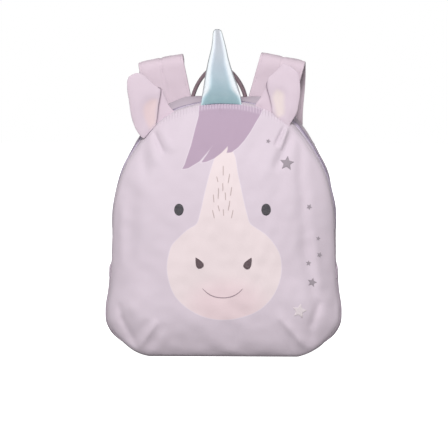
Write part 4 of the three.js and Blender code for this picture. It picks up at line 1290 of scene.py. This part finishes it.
def horn():
    """The stuffed horn: oval rings between the photographed edges, sewn flat into the seam
    below, with dents where the satin is slack."""
    rows, sides = 170, 160
    t = np.linspace(0, 1, rows)
    by_height = np.linspace(0, 1, len(HORN_ROWS))
    row = hermite_through(by_height, HORN_ROWS, t)
    depth = -float(seam_front(BODY_HEIGHT))
    left = at_pixels(row[:, [1, 0]], np.full(rows, depth))
    right = at_pixels(row[:, [2, 0]], np.full(rows, depth))
    centre = 0.5 * (left + right)
    half = 0.5 * (right[:, 0] - left[:, 0])
    share = half / half[0]
    angle = np.linspace(0, math.tau, sides, endpoint=False)[None, :]
    height = (centre[:, 2] - centre[0, 2]) / (centre[-1, 2] - centre[0, 2])
    dent = 0.07 * ripples(HORN_GIRTH * angle / math.tau, HORN_LENGTH * height[:, None], 51, 24, 9)
    for up, round_to, size_up, size_round, deep in HORN_DENTS:
        turn = np.angle(np.exp(1j * (angle - round_to)))
        dent = dent - deep * np.exp(-(((height[:, None] - up) / size_up) ** 2) - (turn / size_round) ** 2)
    dent = dent * np.clip(share[:, None] * 1.6, 0, 1) * smoothstep(0, 0.03, height)[:, None]
    # The photographed outline stays: dents act on the depth alone
    x = centre[:, None, 0] + half[:, None] * np.cos(angle)
    flat = lerp(0.18, 1, smoothstep(-0.03, 0.3, height))[:, None]
    y = depth - (0.5 * HORN_THICKNESS * share[:, None] ** 0.8 * flat + dent) * np.sin(angle)
    foot = seam_height_at(x) - HORN_SEWN_IN
    z = lerp(foot, centre[:, None, 2], smoothstep(0, FOOT_SHARE, height)[:, None])
    grid = np.stack([x, y, np.broadcast_to(z, x.shape)], -1)
    points, faces = closed_tube(grid)
    up = np.clip((points[:, 2] - BODY_HEIGHT) / HORN_TINTED, 0, 1)
    middle = np.interp(points[:, 2], centre[:, 2], centre[:, 0])
    aside = np.abs(points[:, 0] - middle) / np.interp(points[:, 2], centre[:, 2], half)
    # The painted highlight on the flanks starts at a point at the foot and widens upwards
    inner = lerp(0.98, 0.62, smoothstep(0.02, 0.2, up))
    painted_flank_highlight = smoothstep(inner - 0.14, inner + 0.14, aside)
    return put_mesh("horn_stuffed", points, faces, pearl_satin, {"height": up, "painted_flank_highlight": painted_flank_highlight})


dress(horn(), "horn_satin", "horn")


# The shoulder straps

STRAP_WIDTH = 43.5
STRAP_END_WIDTH = 30.0
STRAP_THICKNESS = 6.0
STRAP_FOOT = 202.0
STRAP_BASE = 40.7
STRAP_CREST = 58.5
STRAP_HANG = 85.0
STRAP_SWING = 0.42
STRAP_SAG = 2.8  # how far the falling pad hangs inwards before it swings out
STRAP_LEAN = 4.7
STRAP_FOOT_LEAN = 7.5
STRAP_FOLD = 12.5
STRAP_DRAW = 6.0
STRAP_END = 108.0
STRAP_FRONT = BACK_PLANE + BACK_PADDING + SEAM_GAP + 0.5 * STRAP_THICKNESS
STRAP_TURN = 276.6 - 0.5 * STRAP_THICKNESS - STRAP_FOLD
STRAP_UNEVEN = 0.7  # the right strap's fold stands this much higher, the left one's lower
STRAP_SHOULDER = 0.55  # 1 folds the pad in a half circle, 0 in a square
STRAP_SLANT = math.radians(11.4)
STRAP_GROOVE = 0.9
STRAP_EDGE_GROOVE = 0.45
STRAP_EDGE_SEAM = 0.88  # a share of the half width


def strap_path(side):
    """The middle of a strap's pad and the share of its slant at every point: up the back,
    over a square-shouldered fold, and down behind it, swinging out."""
    turn = STRAP_TURN + side * STRAP_UNEVEN

    def leaned(z):
        share = (z - STRAP_FOOT) / (turn + STRAP_FOLD - STRAP_FOOT)
        return side * lerp(STRAP_BASE, STRAP_CREST, share) - lerp(STRAP_FOOT_LEAN, STRAP_LEAN, share)

    z = np.linspace(STRAP_FOOT, turn, 40)
    rise = np.stack([leaned(z), np.full(40, STRAP_FRONT), z], -1)
    angle = np.linspace(0, math.pi, 90)[1:]
    across = np.sign(np.cos(angle)) * np.abs(np.cos(angle)) ** STRAP_SHOULDER
    z = turn + STRAP_FOLD * np.clip(np.sin(angle), 0, 1) ** STRAP_SHOULDER
    crest = leaned(turn + STRAP_FOLD)
    fold = np.stack([
        np.where(across > 0, leaned(z), crest), STRAP_FRONT + STRAP_FOLD * (1 - across), z,
    ], -1)
    t = np.linspace(0, 1, 100)[1:]
    z = lerp(turn, STRAP_END, t)
    sag = STRAP_SAG * smoothstep(0, 0.3, t) * (1 - smoothstep(0.4, 0.8, t))
    fall = np.stack([
        side * (lerp(STRAP_CREST, STRAP_HANG, smoothstep(STRAP_SWING, 1, t)) - sag) - STRAP_LEAN,
        STRAP_FRONT + 2 * STRAP_FOLD - STRAP_DRAW * t * t, z,
    ], -1)
    slant = np.concatenate([np.ones(len(rise) + len(fold)), 1 - smoothstep(0, 0.3, t)])
    path = np.hstack([np.vstack([rise, fold, fall]), slant[:, None]])
    even = curve_through(path, 420)
    return even[:, :3], even[:, 3]


def on_tube(rings, path, count):
    """Where each of a tube's points lies on its flat cloth, in millimetres: how far round
    its first ring and how far along its path. The two end points, the last, are at zero."""
    sides = rings.shape[1]
    cloth = np.zeros((count, 3))
    cloth[: len(path) * sides, 0] = np.tile(lengths_along(rings[0]), len(path))
    cloth[: len(path) * sides, 1] = np.repeat(lengths_along(path), sides)
    return cloth


def thread(name, runs, material, length=2.3, gap=0.9, width=0.55):
    """Sewing thread: a small rounded bar for every stitch along each (points, outs) run."""
    parts = []
    for points, outs in runs:
        far = lengths_along(points)
        at = np.arange(0.5 * length, far[-1] - 0.5 * length, length + gap)
        place = read_along(at, far, points)
        along = unit(read_along(at + 0.5, far, points) - place)
        out = read_along(at, far, outs)
        out = unit(out - along * np.sum(out * along, -1, keepdims=True))
        across = np.cross(along, out)
        rings = (-1, -0.7, 0.7, 1)
        parts.append(beads(place, along, across, out, length, width, 0.6 * width, 6, rings))
    points, faces = merged(parts)
    return put_mesh(name, points, faces, material)


sewing_thread = moulded_plastic("sewing thread", "#c9b9c4", 0.6)


def strap(side, label):
    """A strap's pad, sewn along its middle, where the padding is drawn in."""
    path, slant = strap_path(side)
    tilt = -side * STRAP_SLANT * slant
    wide = np.stack([np.cos(tilt), np.zeros(len(path)), np.sin(tilt)], -1)
    share = np.linspace(0, 1, len(path))
    taper = smoothstep(0.82, 1, share)
    half_width = 0.5 * lerp(STRAP_WIDTH, STRAP_END_WIDTH, taper)

    def face(across, along):
        groove = STRAP_GROOVE * np.exp(-((across / 0.05) ** 2))
        edge = STRAP_EDGE_GROOVE * np.exp(-(((np.abs(across) - STRAP_EDGE_SEAM) / 0.04) ** 2))
        soft = 0.22 * ripples(across * 21, along * 270, 61 + side, 30, 12)
        return soft - groove - edge

    rings = ribbon_rings(path, wide, half_width, 0.5 * STRAP_THICKNESS, 120, 9.0, face)
    points, faces = closed_tube(rings)
    cloth = on_tube(rings, path, len(points))
    piece = put_mesh(f"strap_{label}_pad", points, faces, strap_cloth, {"cloth": cloth})
    dress(piece, "strap_fabric", f"strap_{label}")
    along = unit(np.gradient(path, axis=0))
    across = unit(wide - along * np.sum(wide * along, -1, keepdims=True))
    out = np.cross(along, across)
    reach = 0.5 * STRAP_THICKNESS - STRAP_GROOVE
    runs = [(path + out * way * reach, out * way) for way in (-1, 1)]
    reach = 0.5 * STRAP_THICKNESS - 0.5
    for place in (-STRAP_EDGE_SEAM, STRAP_EDGE_SEAM):
        for way in (-1, 1):
            offset = across * place * half_width[:, None] + out * way * reach
            runs.append((path + offset, out * way))
    dress(thread(f"strap_{label}_stitches", runs, sewing_thread), "strap_fabric")


for side, label in ((-1, "left"), (1, "right")):
    strap(side, label)


# The carry handle

HANDLE_SPAN = 54.6
HANDLE_RISE = 34.0
HANDLE_FLANK = 1.3
HANDLE_WIDTH = 20.0
HANDLE_THICKNESS = 3.6
HANDLE_OFFSET = 6.3
HANDLE_DEPTH = 26.0


def webbing_mesh(name, path, wide, width, thickness):
    """A length of webbing with its weave's places as an attribute."""
    rings = ribbon_rings(path, wide, 0.5 * width, 0.5 * thickness, 64)
    points, faces = closed_tube(rings)
    return put_mesh(name, points, faces, webbing_cloth, {"cloth": on_tube(rings, path, len(points))})


def carry_handle():
    """An arch of webbing on the rear strip: a half ellipse with straighter flanks, whose
    places are |cos|^1.3 across and |sin|^1.3 up."""
    angle = np.linspace(0, math.pi, 240)
    across = np.cos(angle)
    reach = 0.5 * (HANDLE_SPAN - HANDLE_THICKNESS)
    x = -HANDLE_OFFSET - reach * np.sign(across) * np.abs(across) ** HANDLE_FLANK
    foot = seam_height_at(np.abs(x) - HANDLE_THICKNESS) + BACK_RISE
    top = BODY_HEIGHT + HANDLE_RISE - 0.5 * HANDLE_THICKNESS
    z = lerp(foot, top, np.clip(np.sin(angle), 0, 1) ** HANDLE_FLANK)
    path = curve_through(np.stack([x, np.full(x.shape, HANDLE_DEPTH), z], -1), 200)
    wide = np.array([0.0, 1.0, 0.0])
    return webbing_mesh("carry_handle_webbing", path, wide, HANDLE_WIDTH, HANDLE_THICKNESS)


dress(carry_handle(), "webbing", "carry_handle")


# The lower webbing with its adjusters and sewn tabs

WEBBING_WIDTH = 25.0
WEBBING_THICKNESS = 1.8
WEBBING_FOOT = 36.0
ANCHOR_PLACE = 94.0
ANCHOR_BOTTOM = 14.0
ANCHOR_THICKNESS = 3.0
ANCHOR_SLANT = 24.0
ANCHOR_SEAT = BACK_PLANE + 0.9 * BACK_PADDING + SEAM_GAP
ADJUSTER_DROP = 50.0
ADJUSTER_SLOT = 5.2
ADJUSTER_LIFT = 3.3
ADJUSTER_RUN = 1.92  # half the length on which the webbing rises


def webbing_line(side):
    """Start, length and ways down, across and off of the line from a pad to its tab."""
    start = strap_path(side)[0][-1]
    end = np.array([side * ANCHOR_PLACE - STRAP_LEAN, ANCHOR_SEAT + 0.5 * ANCHOR_THICKNESS, WEBBING_FOOT])
    down = (end - start) / np.linalg.norm(end - start)
    across = unit(np.array([1.0, 0, 0]) - down * down[0])
    return start, np.linalg.norm(end - start), down, across, np.cross(across, down)


def strap_webbing(side, label):
    """The webbing from the pad to the tab; it rises over the adjuster's bar on its way."""
    start, length, down, across, off = webbing_line(side)
    far = np.linspace(0.4, length - 1.5, 200)
    up = (far - (ADJUSTER_DROP - ADJUSTER_SLOT)) / ADJUSTER_RUN
    fall = (far - (ADJUSTER_DROP + ADJUSTER_SLOT)) / ADJUSTER_RUN
    lift = 2 * ADJUSTER_LIFT * (smoothstep(-1, 1, up) - smoothstep(-1, 1, fall))
    path = start + down * far[:, None] + off * lift[:, None]
    piece = webbing_mesh(f"strap_webbing_{label}_cloth", path, across, WEBBING_WIDTH, WEBBING_THICKNESS)
    dress(piece, "webbing", f"strap_webbing_{label}")


def webbing_anchor(side, label):
    """The sewn tab: a slanting piece of folded cloth, a little full between its seams."""
    half = 0.5 * WEBBING_WIDTH
    foot = ANCHOR_PLACE - ANCHOR_SLANT
    top = np.array([(ANCHOR_PLACE - half, WEBBING_FOOT), (ANCHOR_PLACE + half, WEBBING_FOOT)])
    low = np.array([(foot - half, ANCHOR_BOTTOM), (foot + half - 3, ANCHOR_BOTTOM)])
    u = np.linspace(0, 1, 50)[None, :, None]
    v = np.linspace(0, 1, 40)[:, None, None]
    place = lerp(lerp(top[0], top[1], u), lerp(low[0], low[1], u), v)
    full = (np.sin(np.pi * u) * np.sin(np.pi * v))[..., 0] ** 0.35
    sides = []
    for way in (1, -1):
        y = ANCHOR_SEAT + 0.5 * ANCHOR_THICKNESS + way * (0.35 + (0.5 * ANCHOR_THICKNESS - 0.35) * full)
        sides.append(np.stack([side * place[..., 0] - STRAP_LEAN, y, place[..., 1]], -1))
    points, faces = wall_between(*sides)
    cloth = np.concatenate([on_cloth(one).reshape(-1, 3) for one in sides])
    piece = put_mesh(f"webbing_anchor_{label}_tab", points, faces, webbing_cloth, {"cloth": cloth})
    dress(piece, "webbing", f"webbing_anchor_{label}")


for side, label in ((-1, "left"), (1, "right")):
    strap_webbing(side, label)
    webbing_anchor(side, label)


# The hard pieces keep their solids

acetal = moulded_plastic("acetal", "#5d4e55", 0.38)
zinc = moulded_plastic("painted zinc", "#a493a8", 0.3)
for label in ("left", "right"):
    for node, material in ((f"adjuster_{label}", acetal), (f"zipper_slider_{label}", zinc)):
        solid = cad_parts[node]
        solid.data.materials.clear()
        solid.data.materials.append(material)


# Floor, light and camera

FLOOR_SIZE = 6.0


def floor():
    """A wide matt floor, bright enough to read as the photograph's plain white."""
    material, tree, shader = new_material(
        "white sweep", Roughness=0.9, Specular_IOR_Level=0.0, Emission_Strength=1.1,
    )
    shader.inputs["Base Color"].default_value = colour("#f4f3f4")
    shader.inputs["Emission Color"].default_value = (1, 1, 1, 1)
    half = 0.5 * FLOOR_SIZE / MM
    low = -SEAM_GAP  # just clear of the bottom
    corners = np.array([(-half, -half, low), (half, -half, low), (half, half, low), (-half, half, low)])
    piece = put_mesh("floor", corners, [np.array([[0, 1, 2, 3]])], material)
    piece.visible_diffuse = False
    piece.visible_glossy = False


def area_light(name, place, target, size, power, tint=(1, 1, 1)):
    """A square soft light at a place in metres that faces a target."""
    lamp = bpy.data.lights.new(name, "AREA")
    lamp.shape = "SQUARE"
    lamp.size = size
    lamp.energy = power
    lamp.color = tint
    lamp_object = bpy.data.objects.new(name, lamp)
    bpy.context.scene.collection.objects.link(lamp_object)
    way = Vector(target) - Vector(place)
    lamp_object.location = place
    lamp_object.rotation_euler = way.to_track_quat("-Z", "Y").to_euler()
    lamp_object.visible_glossy = False  # the mirrored light is the surround's


def white_world():
    """A white surround, even to the eye. As light it is brightest above and dim below. Shiny
    pieces mirror a soft box at both their sides, and a dimmer front and back."""
    world = bpy.data.worlds.new("white surround")
    bpy.context.scene.world = world
    world.use_nodes = True
    tree = world.node_tree
    tree.nodes.clear()
    path = add_node(tree, "ShaderNodeLightPath")
    way = add_node(tree, "ShaderNodeTexCoord").outputs["Generated"]
    parts = add_node(tree, "ShaderNodeSeparateXYZ", {0: way})
    from_above = add_node(tree, "ShaderNodeMapRange", {
        "Value": parts.outputs["Z"], "From Min": -0.6, "From Max": 0.9,
        "To Min": LOW_LIGHT, "To Max": HIGH_LIGHT,
    }).outputs[0]
    aside = add_node(tree, "ShaderNodeMath", {0: parts.outputs["X"]}, operation="ABSOLUTE").outputs[0]
    boxes = add_node(tree, "ShaderNodeMapRange", {
        "Value": aside, "From Min": 0.5, "From Max": 0.82,
        "To Min": MIRRORED_FRONT, "To Max": MIRRORED_SIDE,
    }).outputs[0]
    behind = add_node(tree, "ShaderNodeMapRange", {
        "Value": parts.outputs["Y"], "From Min": 0.15, "From Max": 0.6,
        "To Min": 1.0, "To Max": MIRRORED_BACK,
    }).outputs[0]
    from_aside = add_node(tree, "ShaderNodeMath", {0: boxes, 1: behind}, operation="MULTIPLY").outputs[0]
    white = (1, 1, 1, 1)
    soft = add_node(tree, "ShaderNodeBackground", {"Color": white, "Strength": from_above})
    mirrored = add_node(tree, "ShaderNodeBackground", {"Color": white, "Strength": from_aside})
    seen = add_node(tree, "ShaderNodeBackground", {"Color": white, "Strength": 1.0})
    shiny = add_node(tree, "ShaderNodeMixShader", {
        0: path.outputs["Is Glossy Ray"], 1: soft.outputs[0], 2: mirrored.outputs[0],
    })
    both = add_node(tree, "ShaderNodeMixShader", {
        0: path.outputs["Is Camera Ray"], 1: shiny.outputs[0], 2: seen.outputs[0],
    })
    add_node(tree, "ShaderNodeOutputWorld", {"Surface": both.outputs[0]})


MIRRORED_FRONT = 1.0
MIRRORED_SIDE = 1.8
MIRRORED_BACK = 0.2  # of the sides' strength
LOW_LIGHT = 0.15
HIGH_LIGHT = 0.5
floor()
white_world()
area_light("key", (-0.12, -2.2, 1.35), (0, 0, 0.14), 0.7, 61)
area_light("fill", (0.1, -2.6, 0.5), (0, 0, 0.12), 0.8, 8)


def camera():
    """The photograph's camera, on a long lens."""
    data = bpy.data.cameras.new("photo camera")
    data.sensor_width = SENSOR_WIDTH
    data.lens = SENSOR_WIDTH * CAMERA_AWAY / (PHOTO_SIDE * MM_PER_PIXEL)
    data.clip_end = 50
    piece = bpy.data.objects.new("photo camera", data)
    bpy.context.scene.collection.objects.link(piece)
    turn = Matrix((VIEW_RIGHT, VIEW_UP, -VIEW_INTO)).transposed()
    piece.matrix_world = Matrix.Translation(Vector(CAMERA_PLACE * MM)) @ turn.to_4x4()
    bpy.context.scene.camera = piece


camera()
bpy.context.scene.view_settings.view_transform = "Standard"
